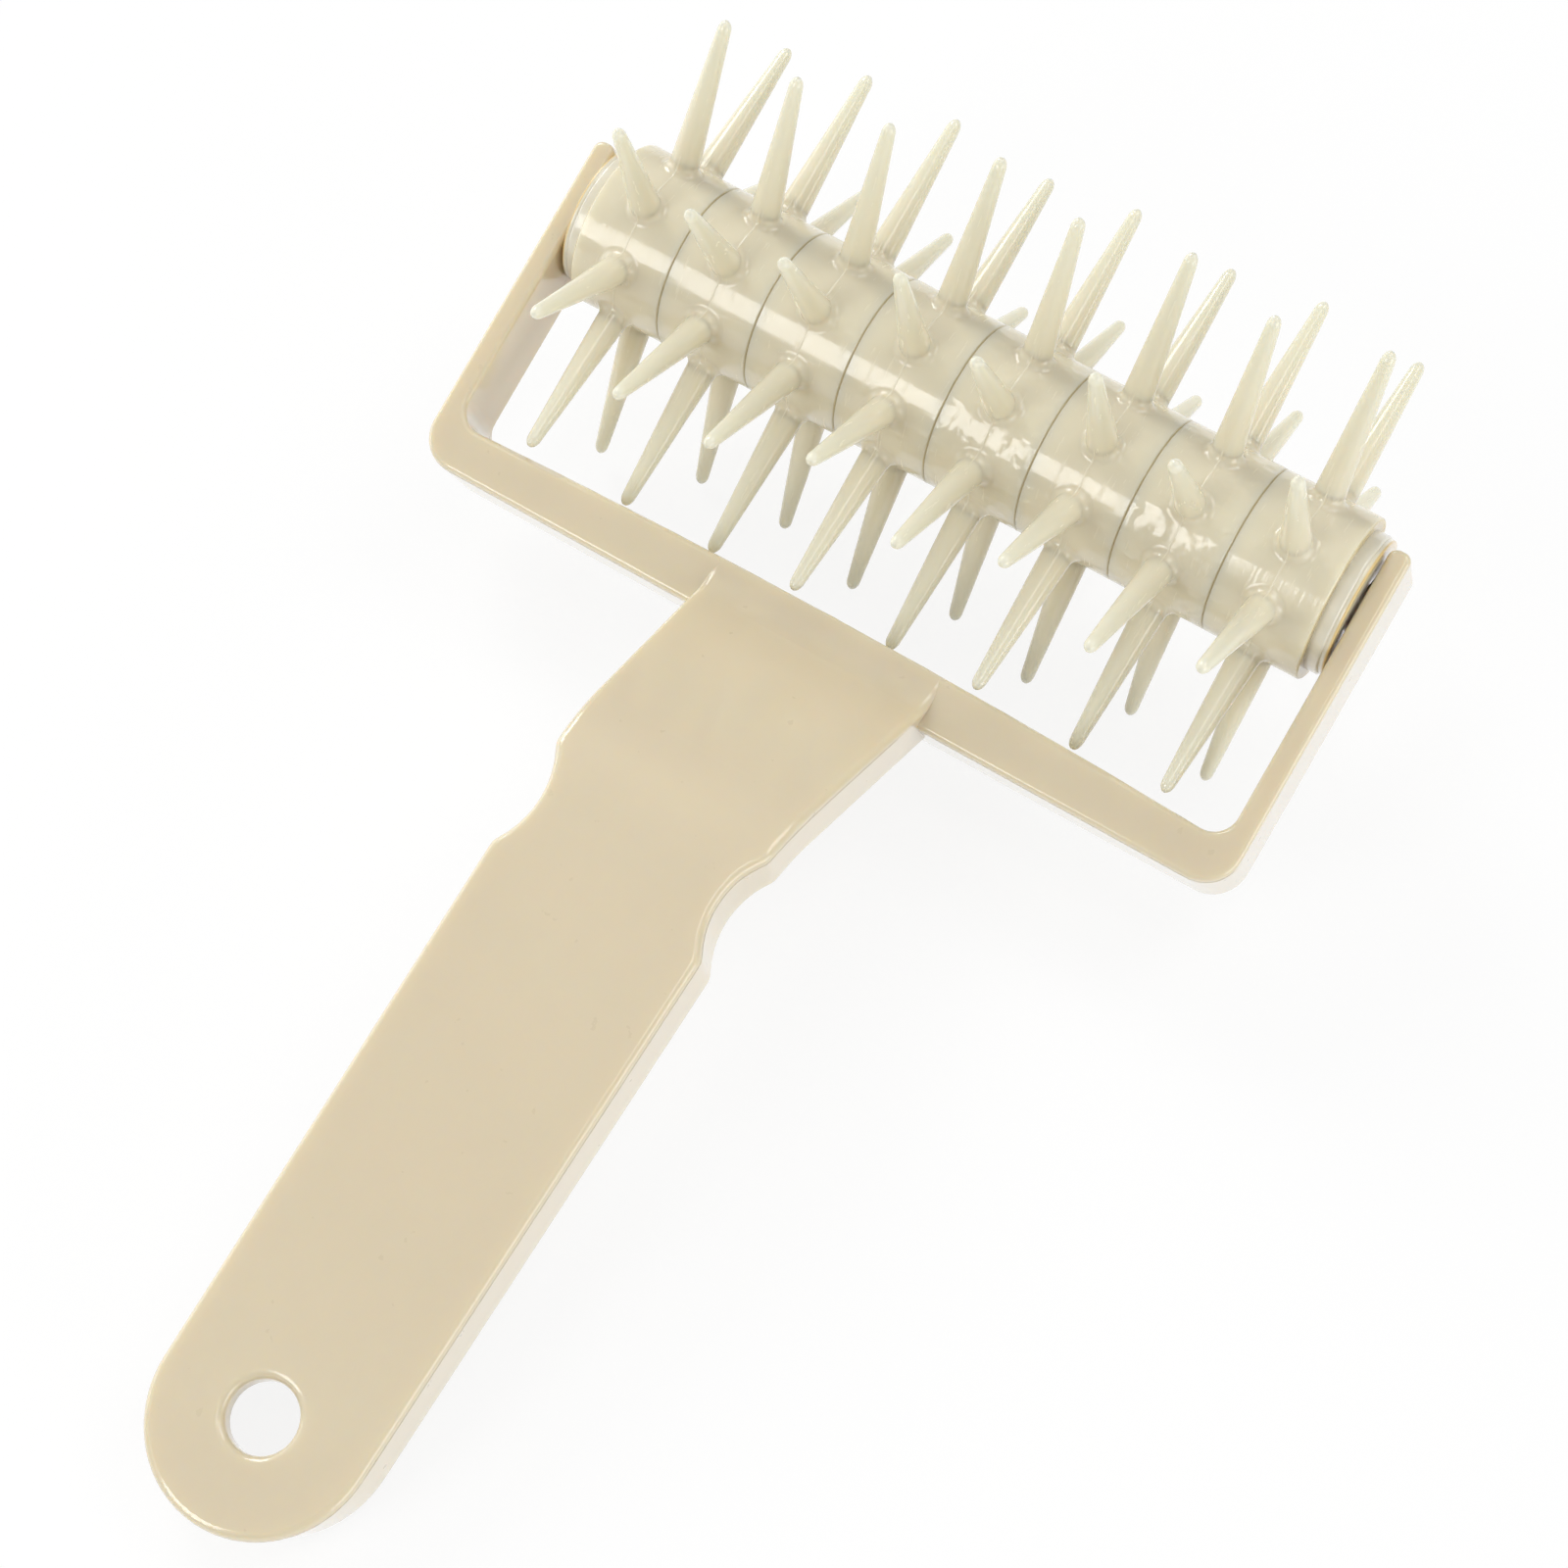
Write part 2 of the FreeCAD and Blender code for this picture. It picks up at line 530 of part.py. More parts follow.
def make_end_cap(name):
    """A disc with a plug and a blind bore for the pin. Its flange lies on the ring stack at X = 0, facing +X."""
    body = new_body(name)
    section = new_sketch(body, f"{name}_section", "XY_Plane")
    plug = "dim.core_bore - dim.fit_clearance"
    bore = "dim.pin_radius + dim.pin_clearance"
    bottom = "dim.cap_thickness - dim.pin_engagement - dim.pin_end_gap"
    draw_outline(section, [
        ("-dim.plug_length", "0"), (bottom, "0"), (bottom, bore), ("dim.cap_thickness", bore),
        ("dim.cap_thickness", "dim.cap_radius"), ("0", "dim.cap_radius"), ("0", plug), ("-dim.plug_length", plug),
    ])
    add_revolution(body, f"{name}_turned", section, "H_Axis")
    add_fillet(body, f"{name}_rim", "dim.cap_edge",
               lambda edge: abs(edge.BoundBox.XMin - dim.cap_thickness) < 1e-3
               and edge.BoundBox.XLength < 1e-6 and abs(edge.BoundBox.YMax - dim.cap_radius) < 1e-3)
    return body


def turn(axis, angle):
    """A placement that turns about an axis through the origin, by degrees."""
    return FreeCAD.Placement(FreeCAD.Vector(), FreeCAD.Rotation(FreeCAD.Vector(*axis), angle))


def lie_on_table():
    """The placement that lays the tool on its spikes and the end of its handle, with the hang hole at the origin."""
    rear_y = value_of(f"{END_Y} - dim.end_width / 2")
    slope = math.radians(dim.grip_slope)
    under_z = value_of(BEND_Z) + (value_of(BEND_Y) - rear_y) * math.tan(slope) - dim.grip_height / math.cos(slope)
    spacing = 360 / dim.spike_count
    tilt = 0.0
    for _ in range(50):
        # The spike nearest to straight down carries the axle.
        leans = [
            (dim.roller_turn + side * dim.key_offset - tilt - 180 + spacing / 2) % spacing - spacing / 2
            for side in set(RING_SIDES)
        ]
        least = math.radians(min(abs(lean) for lean in leans))
        axle_height = dim.spike_reach * math.cos(least) + dim.spike_flat * math.sin(least)
        reach = math.hypot(rear_y, under_z)
        tilt = math.degrees(math.atan2(under_z, -rear_y) + math.asin(axle_height / reach))
    tilted = turn((1, 0, 0), tilt)
    depth = (dim.hole_rim + dim.skin) / 2
    hole_y, hole_z = value_of(END_Y), value_of(END_Z)
    hole = FreeCAD.Vector(0, hole_y - depth * math.sin(slope), hole_z - depth * math.cos(slope))
    return FreeCAD.Placement(-tilted.multVec(hole), tilted.Rotation)


def along_axle(distance):
    """A placement that shifts along the axle."""
    return FreeCAD.Placement(FreeCAD.Vector(distance, 0, 0), FreeCAD.Rotation())


handle_frame = make_handle_frame()
doc.recompute()
table = lie_on_table()
handle_frame.Placement = table
pieces = [handle_frame]

roller = table.multiply(turn((1, 0, 0), -dim.roller_turn))
core = make_roller_core()
core.Placement = roller
pieces.append(core)

end_for_end = turn((0, 0, 1), 180)
for number, ring_side in enumerate(RING_SIDES):
    ring = make_spiked_ring(f"spiked_ring_{number + 1}")
    place = roller.multiply(along_axle((number - (len(RING_SIDES) - 1) / 2) * dim.ring_width))
    if ring_side < 0:
        place = place.multiply(end_for_end)
    ring.Placement = place.multiply(turn((1, 0, 0), -dim.key_offset))
    pieces.append(ring)

for name, way in (("left_end_cap", -1), ("right_end_cap", 1)):
    cap = make_end_cap(name)
    place = roller.multiply(along_axle(way * value_of(ROLLER_LENGTH) / 2))
    if way < 0:
        place = place.multiply(end_for_end)
    cap.Placement = place
    pieces.append(cap)

doc.recompute()
for item in doc.Objects:
    if "Invalid" in item.State or "Error" in item.State:
        raise RuntimeError(f"{item.Label} did not build: {item.State}")
os.makedirs("parts", exist_ok=True)
for piece in pieces:
    if piece.Shape.isNull() or not piece.Shape.isValid():
        raise RuntimeError(f"{piece.Label} has no valid shape")
    piece.Shape.exportStep(f"parts/{piece.Label}.step")
    print(f"{piece.Label}: {len(piece.Shape.Solids)} solid, {piece.Shape.Volume / 1000:.2f} cubic centimetres")
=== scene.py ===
"""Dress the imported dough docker: cream plastic finishes, fine mould lines, a plain studio and the camera.

Sizes of the tool are in millimetres in its own axes, where the axle lies along X through the origin, the
handle runs back along -Y and Z is square to the arms. Everything that reaches Blender is in metres, in the
row frame.
"""

import json
import logging
import math
from dataclasses import dataclass
from enum import Enum
from typing import Dict, List, Mapping, Optional, Sequence, Tuple, Union

import bpy
import numpy as np
from mathutils import Matrix, Vector
from mathutils.bvhtree import BVHTree


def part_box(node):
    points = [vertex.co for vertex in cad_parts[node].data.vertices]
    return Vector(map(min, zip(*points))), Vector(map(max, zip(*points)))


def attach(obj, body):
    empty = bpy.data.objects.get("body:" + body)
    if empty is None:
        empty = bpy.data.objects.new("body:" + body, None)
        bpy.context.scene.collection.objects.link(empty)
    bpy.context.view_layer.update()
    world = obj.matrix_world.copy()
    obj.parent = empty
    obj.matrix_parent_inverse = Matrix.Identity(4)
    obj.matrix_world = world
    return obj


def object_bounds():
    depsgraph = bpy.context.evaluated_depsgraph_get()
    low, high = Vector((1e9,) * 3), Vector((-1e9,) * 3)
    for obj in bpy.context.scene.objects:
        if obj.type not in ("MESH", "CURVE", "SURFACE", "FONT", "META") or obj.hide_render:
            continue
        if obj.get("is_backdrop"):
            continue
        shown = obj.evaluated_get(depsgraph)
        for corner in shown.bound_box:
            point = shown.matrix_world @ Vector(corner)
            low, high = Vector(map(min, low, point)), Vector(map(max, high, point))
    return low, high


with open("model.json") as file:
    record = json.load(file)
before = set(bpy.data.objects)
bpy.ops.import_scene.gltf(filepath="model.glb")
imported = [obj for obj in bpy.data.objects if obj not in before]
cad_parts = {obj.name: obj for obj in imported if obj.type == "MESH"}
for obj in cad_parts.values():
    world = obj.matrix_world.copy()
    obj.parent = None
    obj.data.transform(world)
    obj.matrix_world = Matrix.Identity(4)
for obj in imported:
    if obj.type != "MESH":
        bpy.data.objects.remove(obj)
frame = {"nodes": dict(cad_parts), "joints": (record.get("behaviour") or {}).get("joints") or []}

LOG = logging.getLogger("dough_docker")
MM = 0.001
MICRON = 1e-6
NOISE_MIDDLE = 0.5

Pair = Tuple[float, float]
Triple = Tuple[float, float, float]
Colour = Triple
Key = Union[int, str]
Nodes = Mapping[str, bpy.types.Object]

# Sizes that the shapes and the finishes share

TILT_DEG = 24.582
HUB_RADIUS_MM = 12.0
SPIKE_REACH_MM = 34.5


class Surface(Enum):
    """How evenly a ring came out of its mould."""

    EVEN = "even"
    DIMPLED = "dimpled"


class MixSocket(Enum):
    """Places of the colour sockets on Blender's Mix node."""

    FACTOR = 0
    FIRST = 6
    SECOND = 7
    RESULT = 2


# Colours and other looks of the pieces

WHITE: Colour = (1.0, 1.0, 1.0)
FRAME_TONES: Dict[str, Colour] = {"cream": (0.72, 0.635, 0.46), "mottle": (0.70, 0.61, 0.44)}
# A darker cream for the frame's raised mould lines.
DARK_LINE_TONES: Dict[str, Colour] = {"cream": (0.55, 0.47, 0.32), "mottle": (0.62, 0.54, 0.38)}
RING_TONES: Dict[str, Colour] = {"cream": (0.785, 0.725, 0.555), "mottle": (0.765, 0.70, 0.535)}
# Painted light: the caps are painted paler than the rings, to lift them out of the shade between ring and
# arm.
CAP_PAINTED_LIGHT_TONES: Dict[str, Colour] = {"cream": (0.86, 0.80, 0.64), "mottle": (0.84, 0.78, 0.61)}
CAP_TRANSLUCENCY = 0.2
MILKY = {
    "translucency": 0.7,
    "scatter_mm": 3.0,
    "scatter_tint": (1.0, 0.88, 0.70),
    "roughness": 0.10,
    "ior": 1.6,
    "coat": 0.0,
}
DIMPLE_MICRONS = 320.0
RING_COUNT = 8
DIMPLED_RINGS = (5, 7)


# Shader expressions

Number = Union["Value", float]


class Value:
    """A shader socket that grows Math nodes when Python operators are used on it."""

    def __init__(self, book: "NodeBook", socket: bpy.types.NodeSocket) -> None:
        """Wrap one output socket of the given node tree."""
        self.book = book
        self.socket = socket

    def math(self, operation: str, *values: Number, clamp: bool = False) -> "Value":
        """Add one Math node.

        Args:
            operation: the Math node's operation.
            values: what goes into its sockets, in order.
            clamp: whether the result is held between 0 and 1.

        Returns:
            The node's result.
        """
        settings = {"operation": operation, "use_clamp": clamp}
        return self.book.node("ShaderNodeMath", settings, dict(enumerate(values)))

    def __add__(self, other: Number) -> "Value":
        """This value plus another."""
        return self.math("ADD", self, other)

    def __radd__(self, other: Number) -> "Value":
        """Another value plus this one."""
        return self.math("ADD", other, self)

    def __sub__(self, other: Number) -> "Value":
        """This value less another."""
        return self.math("SUBTRACT", self, other)

    def __rsub__(self, other: Number) -> "Value":
        """Another value less this one."""
        return self.math("SUBTRACT", other, self)

    def __mul__(self, other: Number) -> "Value":
        """This value times another."""
        return self.math("MULTIPLY", self, other)

    def __truediv__(self, other: Number) -> "Value":
        """This value divided by another."""
        return self.math("DIVIDE", self, other)

    def __pow__(self, other: Number) -> "Value":
        """This value to a power."""
        return self.math("POWER", self, other)

    def __gt__(self, other: Number) -> "Value":
        """1 where this value is above another, else 0."""
        return self.math("GREATER_THAN", self, other)

    def __abs__(self) -> "Value":
        """This value without its sign."""
        return self.math("ABSOLUTE", self)

    def held(self) -> "Value":
        """This value held between 0 and 1."""
        return self.math("ADD", self, 0.0, clamp=True)


Feed = Union[Value, float, Sequence[float]]


class NodeBook:
    """One node tree, with the one method that adds any node and two for common ones."""

    def __init__(self, tree: bpy.types.NodeTree) -> None:
        """Start the tree empty."""
        self.tree = tree
        tree.nodes.clear()

    def node(
        self,
        kind: str,
        settings: Optional[Mapping[str, object]] = None,
        inputs: Optional[Mapping[Key, Feed]] = None,
        output: Key = 0,
    ) -> Value:
        """Add a node.

        Args:
            kind: the node's type.
            settings: its properties, which are set first.
            inputs: values or links for its sockets, by name or place.
            output: the output that is handed back, by name or place.

        Returns:
            That output, or the first input of a node that has no outputs.
        """
        made = self.tree.nodes.new(kind)
        for name, setting in (settings or {}).items():
            setattr(made, name, setting)
        for key, feed in (inputs or {}).items():
            socket = made.inputs[key]
            if isinstance(feed, Value):
                self.tree.links.new(feed.socket, socket)
            else:
                socket.default_value = feed
        if not made.outputs:
            return Value(self, made.inputs[0])
        return Value(self, made.outputs[output])

    def mix(self, factor: Number, first: Feed, second: Feed) -> Value:
        """Blend two colours.

        Args:
            factor: the share of the second colour.
            first: a colour with alpha, or a link.
            second: a colour with alpha, or a link.

        Returns:
            The blended colour.
        """
        inputs = {
            MixSocket.FACTOR.value: factor,
            MixSocket.FIRST.value: first,
            MixSocket.SECOND.value: second,
        }
        return self.node("ShaderNodeMix", {"data_type": "RGBA"}, inputs, MixSocket.RESULT.value)

    def noise(self, place: Value, scale: float, detail: float = 2.0, roughness: float = 0.5) -> Value:
        """Soft noise from 0 to 1 in space.

        Args:
            place: where it is read.
            scale: lumps per unit of the place.
            detail: how many finer layers it has.
            roughness: how strong those layers are.

        Returns:
            The noise.
        """
        inputs = {"Vector": place, "Scale": scale, "Detail": detail, "Roughness": roughness}
        return self.node("ShaderNodeTexNoise", {}, inputs)


def opaque(colour: Colour) -> Tuple[float, float, float, float]:
    """A colour with full alpha, as sockets take it."""
    return (*colour, 1.0)


def coordinates(book: NodeBook, place: Value) -> List[Value]:
    """The three coordinates of a place, in metres."""
    return [book.node("ShaderNodeSeparateXYZ", {}, {"Vector": place}, axis) for axis in "XYZ"]


def about_axle(book: NodeBook, place: Value, axle: Pair) -> Tuple[Value, Value]:
    """Cylinder coordinates about the axle.

    Args:
        book: the material's nodes.
        place: Object coordinates.
        axle: the axle's place along Y and Z, in metres.

    Returns:
        The place along the axle, and the distance from it, in metres.
    """
    along, back, up = coordinates(book, place)
    return along, ((back - axle[0]) ** 2.0 + (up - axle[1]) ** 2.0) ** 0.5


# Finishes


@dataclass(frozen=True)
class CreamPlastic:
    """Glossy moulded plastic, slightly translucent, with a faint mottle and a few specks of burnt resin.

    A name that ends in per_m says how many lumps or cells of a pattern lie along one metre.
    """

    name: str
    cream: Colour
    mottle: Colour
    mottle_per_m: float = 38.0
    mottle_from: float = 0.35
    mottle_contrast: float = 2.2
    speck: Colour = (0.30, 0.22, 0.12)
    specks_per_m: float = 75.0
    speck_rarity: float = 0.80
    speck_size: float = 0.016
    speck_strength: float = 0.75
    roughness: float = 0.30
    dull_spots_per_m: float = 420.0
    dull_range: float = 0.12
    ior: float = 1.5
    coat: float = 1.0
    coat_roughness: float = 0.07
    coat_ior: float = 1.5
    translucency: float = 0.6
    scatter_mm: float = 4.0
    scatter_tint: Colour = (1.0, 0.78, 0.45)
    peel_per_m: float = 520.0
    peel_microns: float = 1.6
    sinks_per_m: float = 42.0
    sink_microns: float = 26.0

    def material(self) -> bpy.types.Material:
        """Build the finish.

        Returns:
            A material whose colour, roughness and relief are procedural.
        """
        made = bpy.data.materials.new(self.name)
        made.use_nodes = True
        book = NodeBook(made.node_tree)
        place = book.node("ShaderNodeTexCoord", output="Object")
        relief = book.node("ShaderNodeBump", {}, {
            "Strength": 1.0, "Distance": MICRON, "Height": self.relief(book, place),
        })
        shader = book.node("ShaderNodeBsdfPrincipled", {"subsurface_method": "RANDOM_WALK"}, {
            "Base Color": self.colour(book, place),
            "Roughness": self.dullness(book, place),
            "Normal": relief,
            "IOR": self.ior,
            "Coat Weight": self.coat,
            "Coat Roughness": self.coat_roughness,
            "Coat IOR": self.coat_ior,
            "Subsurface Weight": self.translucency,
            "Subsurface Radius": self.scatter_tint,
            "Subsurface Scale": self.scatter_mm * MM,
        })
        book.node("ShaderNodeOutputMaterial", {}, {"Surface": shader})
        return made

    def colour(self, book: NodeBook, place: Value) -> Value:
        """The mottled cream with its specks.

        Args:
            book: the material's nodes.
            place: Object coordinates.

        Returns:
            The base colour.
        """
        cloud = book.noise(place, self.mottle_per_m, detail=4.0, roughness=0.6)
        share = ((cloud - self.mottle_from) * self.mottle_contrast).held()
        body = book.mix(share, opaque(self.cream), opaque(self.mottle))
        return book.mix(self.specks(book, place), body, opaque(self.speck))

    def specks(self, book: NodeBook, place: Value) -> Value:
        """Small dark dots, in a few cells of a Voronoi pattern.

        Args:
            book: the material's nodes.
            place: Object coordinates.

        Returns:
            How far a point is inside a dot.
        """
        cells = {"Vector": place, "Scale": self.specks_per_m}
        distance = book.node("ShaderNodeTexVoronoi", {}, cells, "Distance")
        chance = book.node("ShaderNodeTexVoronoi", {}, cells, "Color")
        chosen = book.node("ShaderNodeSeparateColor", {}, {"Color": chance}) > self.speck_rarity
        return chosen * (1.0 - distance / self.speck_size).held() * self.speck_strength

    def dullness(self, book: NodeBook, place: Value) -> Value:
        """How dull the skin is, which varies a little from spot to spot.

        Args:
            book: the material's nodes.
            place: Object coordinates.

        Returns:
            The roughness.
        """
        spots = book.noise(place, self.dull_spots_per_m, detail=3.0)
        return self.roughness + (spots - NOISE_MIDDLE) * self.dull_range

    def relief(self, book: NodeBook, place: Value) -> Value:
        """Orange peel and slow unevenness.

        Args:
            book: the material's nodes.
            place: Object coordinates.

        Returns:
            The relief in micrometres.
        """
        peel = book.noise(place, self.peel_per_m)
        sink = book.noise(place, self.sinks_per_m, detail=1.0)
        return peel * self.peel_microns + sink * self.sink_microns


@dataclass(frozen=True)
class FramePlastic(CreamPlastic):
    """The frame's plastic, with the mould line drawn along the arms' outer faces."""

    axle: Pair = (0.0, 0.0)
    tilt_deg: float = TILT_DEG
    outside_mm: float = 63.9
    line: Colour = (0.50, 0.43, 0.30)
    line_height_mm: float = 5.55
    line_half_mm: float = 0.14

    def colour(self, book: NodeBook, place: Value) -> Value:
        """The mottled cream with the line, which lies at one height square to the arms.

        That height is the height above the axle, turned back by the tilt.

        Args:
            book: the material's nodes.
            place: Object coordinates.

        Returns:
            The base colour.
        """
        across, back, up = coordinates(book, place)
        tilt = math.radians(self.tilt_deg)
        height = (up - self.axle[1]) * math.cos(tilt) - (back - self.axle[0]) * math.sin(tilt)
        off = abs(height / MM - self.line_height_mm)
        outer = abs(across) > self.outside_mm * MM
        line = (1.0 - off / self.line_half_mm).held() * outer
        return book.mix(line, super().colour(book, place), opaque(self.line))


@dataclass(frozen=True)
class RollerPlastic(CreamPlastic):
    """The rings' paler plastic: turning lines round the hub, amber painted shade in the seams between the
    rings, and painted light that pales the spikes outwards.
    """

    axle: Pair = (0.0, 0.0)
    hub_radius_mm: float = HUB_RADIUS_MM
    hub_edge_mm: float = 0.2
    hub_fade_mm: float = 1.2
    # Painted light: towards the tips the colour pales to this tone, standing in for light that passes through
    # the thin spikes.
    spike: Colour = (0.765, 0.745, 0.61)
    spike_length_mm: float = SPIKE_REACH_MM - HUB_RADIUS_MM
    painted_glow_paling: float = 0.6
    ring_width_mm: float = 14.4
    # Painted shade: an amber-brown tone in the seams between the rings, where shade falls in the narrow gaps.
    painted_seam_shade: Colour = (0.60, 0.49, 0.26)
    seam_half_mm: float = 0.22
    turning_microns: float = 14.0
    turning_pitch_mm: float = 0.6
    turning_run_mm: float = 5.0
    streak_from: float = 0.52
    streak_contrast: float = 6.0
    dulled: float = 0.22
    dimples_per_m: float = 400.0
    dimple_microns: float = 0.0

    def along_spike(self, book: NodeBook, place: Value) -> Value:
        """How far out along a spike a point is.

        Args:
            book: the material's nodes.
            place: Object coordinates.

        Returns:
            0 on the hub, rising to 1 at the tips, and fastest near the hub.
        """
        _, radius = about_axle(book, place, self.axle)
        share = (radius - self.hub_radius_mm * MM) / (self.spike_length_mm * MM)
        return share.held() ** self.painted_glow_paling

    def colour(self, book: NodeBook, place: Value) -> Value:
        """The mottled cream, with painted light that pales it along the spikes and amber painted shade in the
        seams between the rings.

        Args:
            book: the material's nodes.
            place: Object coordinates.

        Returns:
            The base colour.
        """
        body = book.mix(self.along_spike(book, place), super().colour(book, place), opaque(self.spike))
        along, _ = about_axle(book, place, self.axle)
        rings = along / (self.ring_width_mm * MM)
        off = abs(rings - rings.math("ROUND", rings)) * self.ring_width_mm
        return book.mix((1.0 - off / self.seam_half_mm).held(), body, opaque(self.painted_seam_shade))

    def dullness(self, book: NodeBook, place: Value) -> Value:
        """How dull the skin is, with short dull streaks round the hub.

        Args:
            book: the material's nodes.
            place: Object coordinates.

        Returns:
            The roughness.
        """
        across, run = 1.0 / (self.turning_pitch_mm * MM), 1.0 / (self.turning_run_mm * MM)
        stretch = {0: place, 1: (across, run, run)}
        drawn = book.node("ShaderNodeVectorMath", {"operation": "MULTIPLY"}, stretch)
        cloud = book.noise(drawn, 1.0, detail=3.0, roughness=0.6)
        streaks = ((cloud - self.streak_from) * self.streak_contrast).held()
        return self.roughness + streaks * self.dulled

    def relief(self, book: NodeBook, place: Value) -> Value:
        """The plastic's relief, with turning lines and dimples on the hub.

        Args:
            book: the material's nodes.
            place: Object coordinates.

        Returns:
            The relief in micrometres.
        """
        along, radius = about_axle(book, place, self.axle)
        edge = (self.hub_radius_mm + self.hub_edge_mm) * MM
        on_hub = 1.0 - ((radius - edge) / (self.hub_fade_mm * MM)).held()
        lines = book.node("ShaderNodeTexNoise", {"noise_dimensions": "1D"}, {
            "W": along, "Scale": 1.0 / (self.turning_pitch_mm * MM), "Detail": 1.5,
        })
        dimples = book.noise(place, self.dimples_per_m, detail=1.0)
        turned = (lines * self.turning_microns + dimples * self.dimple_microns) * on_hub
        return super().relief(book, place) + turned


@dataclass(frozen=True)
class GapShadedPlastic(CreamPlastic):
    """The end caps' plastic, with amber painted shade round the edge that runs beside the arm."""

    axle: Pair = (0.0, 0.0)
    # Painted shade: the amber-brown of the narrow slit between the cap and the arm.
    painted_gap_shade: Colour = (0.78, 0.55, 0.22)
    beyond_mm: float = 59.95
    beyond_fade_mm: float = 0.2
    around_mm: float = 8.4
    around_fade_mm: float = 0.8

    def colour(self, book: NodeBook, place: Value) -> Value:
        """The mottled cream, with amber painted shade on the outer edge of the raised face.

        Args:
            book: the material's nodes.
            place: Object coordinates.

        Returns:
            The base colour.
        """
        along, radius = about_axle(book, place, self.axle)
        beyond = (abs(along) / MM - self.beyond_mm) / self.beyond_fade_mm
        around = (radius / MM - self.around_mm) / self.around_fade_mm
        return book.mix(beyond.held() * around.held(), super().colour(book, place), opaque(self.painted_gap_shade))


# Surfaces


def new_piece(name: str, grids: Sequence[np.ndarray], material: bpy.types.Material) -> bpy.types.Object:
    """Make one object from closed tubes.

    A tube is a grid of points, one row for each step along its path. Each row closes on itself. A path whose
    ends lie side by side closes too, and any other gets a flat face at both ends.

    Args:
        name: the piece's name.
        grids: arrays of shape (steps, points in the profile, 3), in metres in the row frame.
        material: its finish.

    Returns:
        The object, linked to the scene and at the origin.
    """
    side_by_side = 1.0 * MM
    points, faces, start = [], [], 0
    for grid in grids:
        steps, around, _ = grid.shape
        index = np.arange(steps * around).reshape(steps, around) + start
        beside = np.roll(index, -1, axis=1)
        closed = np.linalg.norm(grid[0].mean(0) - grid[-1].mean(0)) < side_by_side
        row = np.arange(steps if closed else steps - 1)
        following = (row + 1) % steps
        corners = [index[row], index[following], beside[following], beside[row]]
        faces += np.stack(corners, -1).reshape(-1, 4).tolist()
        if not closed:
            faces += [index[0].tolist(), index[-1, ::-1].tolist()]
        points.append(grid.reshape(-1, 3))
        start += steps * around
    mesh = bpy.data.meshes.new(name)
    mesh.from_pydata(np.concatenate(points), [], faces)
    mesh.shade_smooth()
    mesh.materials.append(material)
    made = bpy.data.objects.new(name, mesh)
    bpy.context.scene.collection.objects.link(made)
    return made


def unit(vectors: np.ndarray) -> np.ndarray:
    """Vectors brought to length 1."""
    return vectors / np.linalg.norm(vectors, axis=-1, keepdims=True)


def straight(start: np.ndarray, end: np.ndarray, count: int) -> np.ndarray:
    """Evenly spaced points on the straight line from start to end, ends included."""
    return start + (end - start) * np.linspace(0.0, 1.0, count)[:, None]


def arc(centre: np.ndarray, start: np.ndarray, end: np.ndarray, count: int) -> np.ndarray:
    """Points on the shorter arc about a centre, from start to end, ends included.

    The angle runs evenly from the start's to the end's by the shorter way, at the start's distance.
    """
    first, last = start - centre, end - centre
    begin = math.atan2(first[1], first[0])
    sweep = (math.atan2(last[1], last[0]) - begin + math.pi) % (2 * math.pi) - math.pi
    angle = begin + np.linspace(0.0, 1.0, count) * sweep
    return centre + np.linalg.norm(first) * np.stack([np.cos(angle), np.sin(angle)], -1)


def settle(path: np.ndarray, node: bpy.types.Object) -> Tuple[np.ndarray, np.ndarray]:
    """Move points onto a CAD node, each to the nearest point of its surface.

    Args:
        path: points in metres in the row frame, close to the surface.
        node: the CAD node.

    Returns:
        The points on the surface, and its outward unit vectors there.
    """
    tree = BVHTree.FromObject(node, bpy.context.evaluated_depsgraph_get())
    hits = [tree.find_nearest(spot)[:2] for spot in path]
    return np.array([spot for spot, _ in hits]), np.array([normal for _, normal in hits])


@dataclass(frozen=True)
class MouldLine:
    """The fine raised line where two halves of a mould met."""

    half_width_mm: float = 0.14
    height_mm: float = 0.05
    sunk_mm: float = 0.06
    arc_points: int = 6

    def tube(
        self, path: np.ndarray, outward: np.ndarray, sideways: np.ndarray, share: np.ndarray
    ) -> np.ndarray:
        """Carry a half ellipse along a path.

        Point (i, j) is path i, plus the ellipse's height at angle j along outward i, plus its width at
        angle j along sideways i. Its foot is sunk below the surface.

        Args:
            path: points on the surface, in millimetres.
            outward: unit vectors out of the surface.
            sideways: unit vectors in the surface, square to the path.
            share: how much of the full section each step has.

        Returns:
            A grid of points in millimetres.
        """
        angle = np.linspace(0.0, math.pi, self.arc_points)
        across = np.concatenate([np.cos(angle), [-1.0, 1.0]]) * self.half_width_mm
        foot = [-self.sunk_mm, -self.sunk_mm]
        height = np.concatenate([np.sin(angle) * self.height_mm, foot])
        up = outward[:, None, :] * (height[None, :] * share[:, None])[..., None]
        aside = sideways[:, None, :] * (across[None, :] * share[:, None])[..., None]
        return path[:, None, :] + up + aside


# The frame


@dataclass(frozen=True)
class Lay:
    """How the tool lies: its own axes are tilted about the axle, which sits at a known place."""

    axle: Vector
    tilt_deg: float = TILT_DEG

    def to_row(self, points_mm: np.ndarray) -> np.ndarray:
        """Turn points about X by the tilt, then move them to the axle.

        Args:
            points_mm: an array whose last axis is x, y, z in the tool's own axes.

        Returns:
            The points in metres in the row frame.
        """
        tilt = math.radians(self.tilt_deg)
        turn = np.array([
            [1.0, 0.0, 0.0],
            [0.0, math.cos(tilt), -math.sin(tilt)],
            [0.0, math.sin(tilt), math.cos(tilt)],
        ])
        return points_mm @ turn.T * MM + np.array(self.axle)


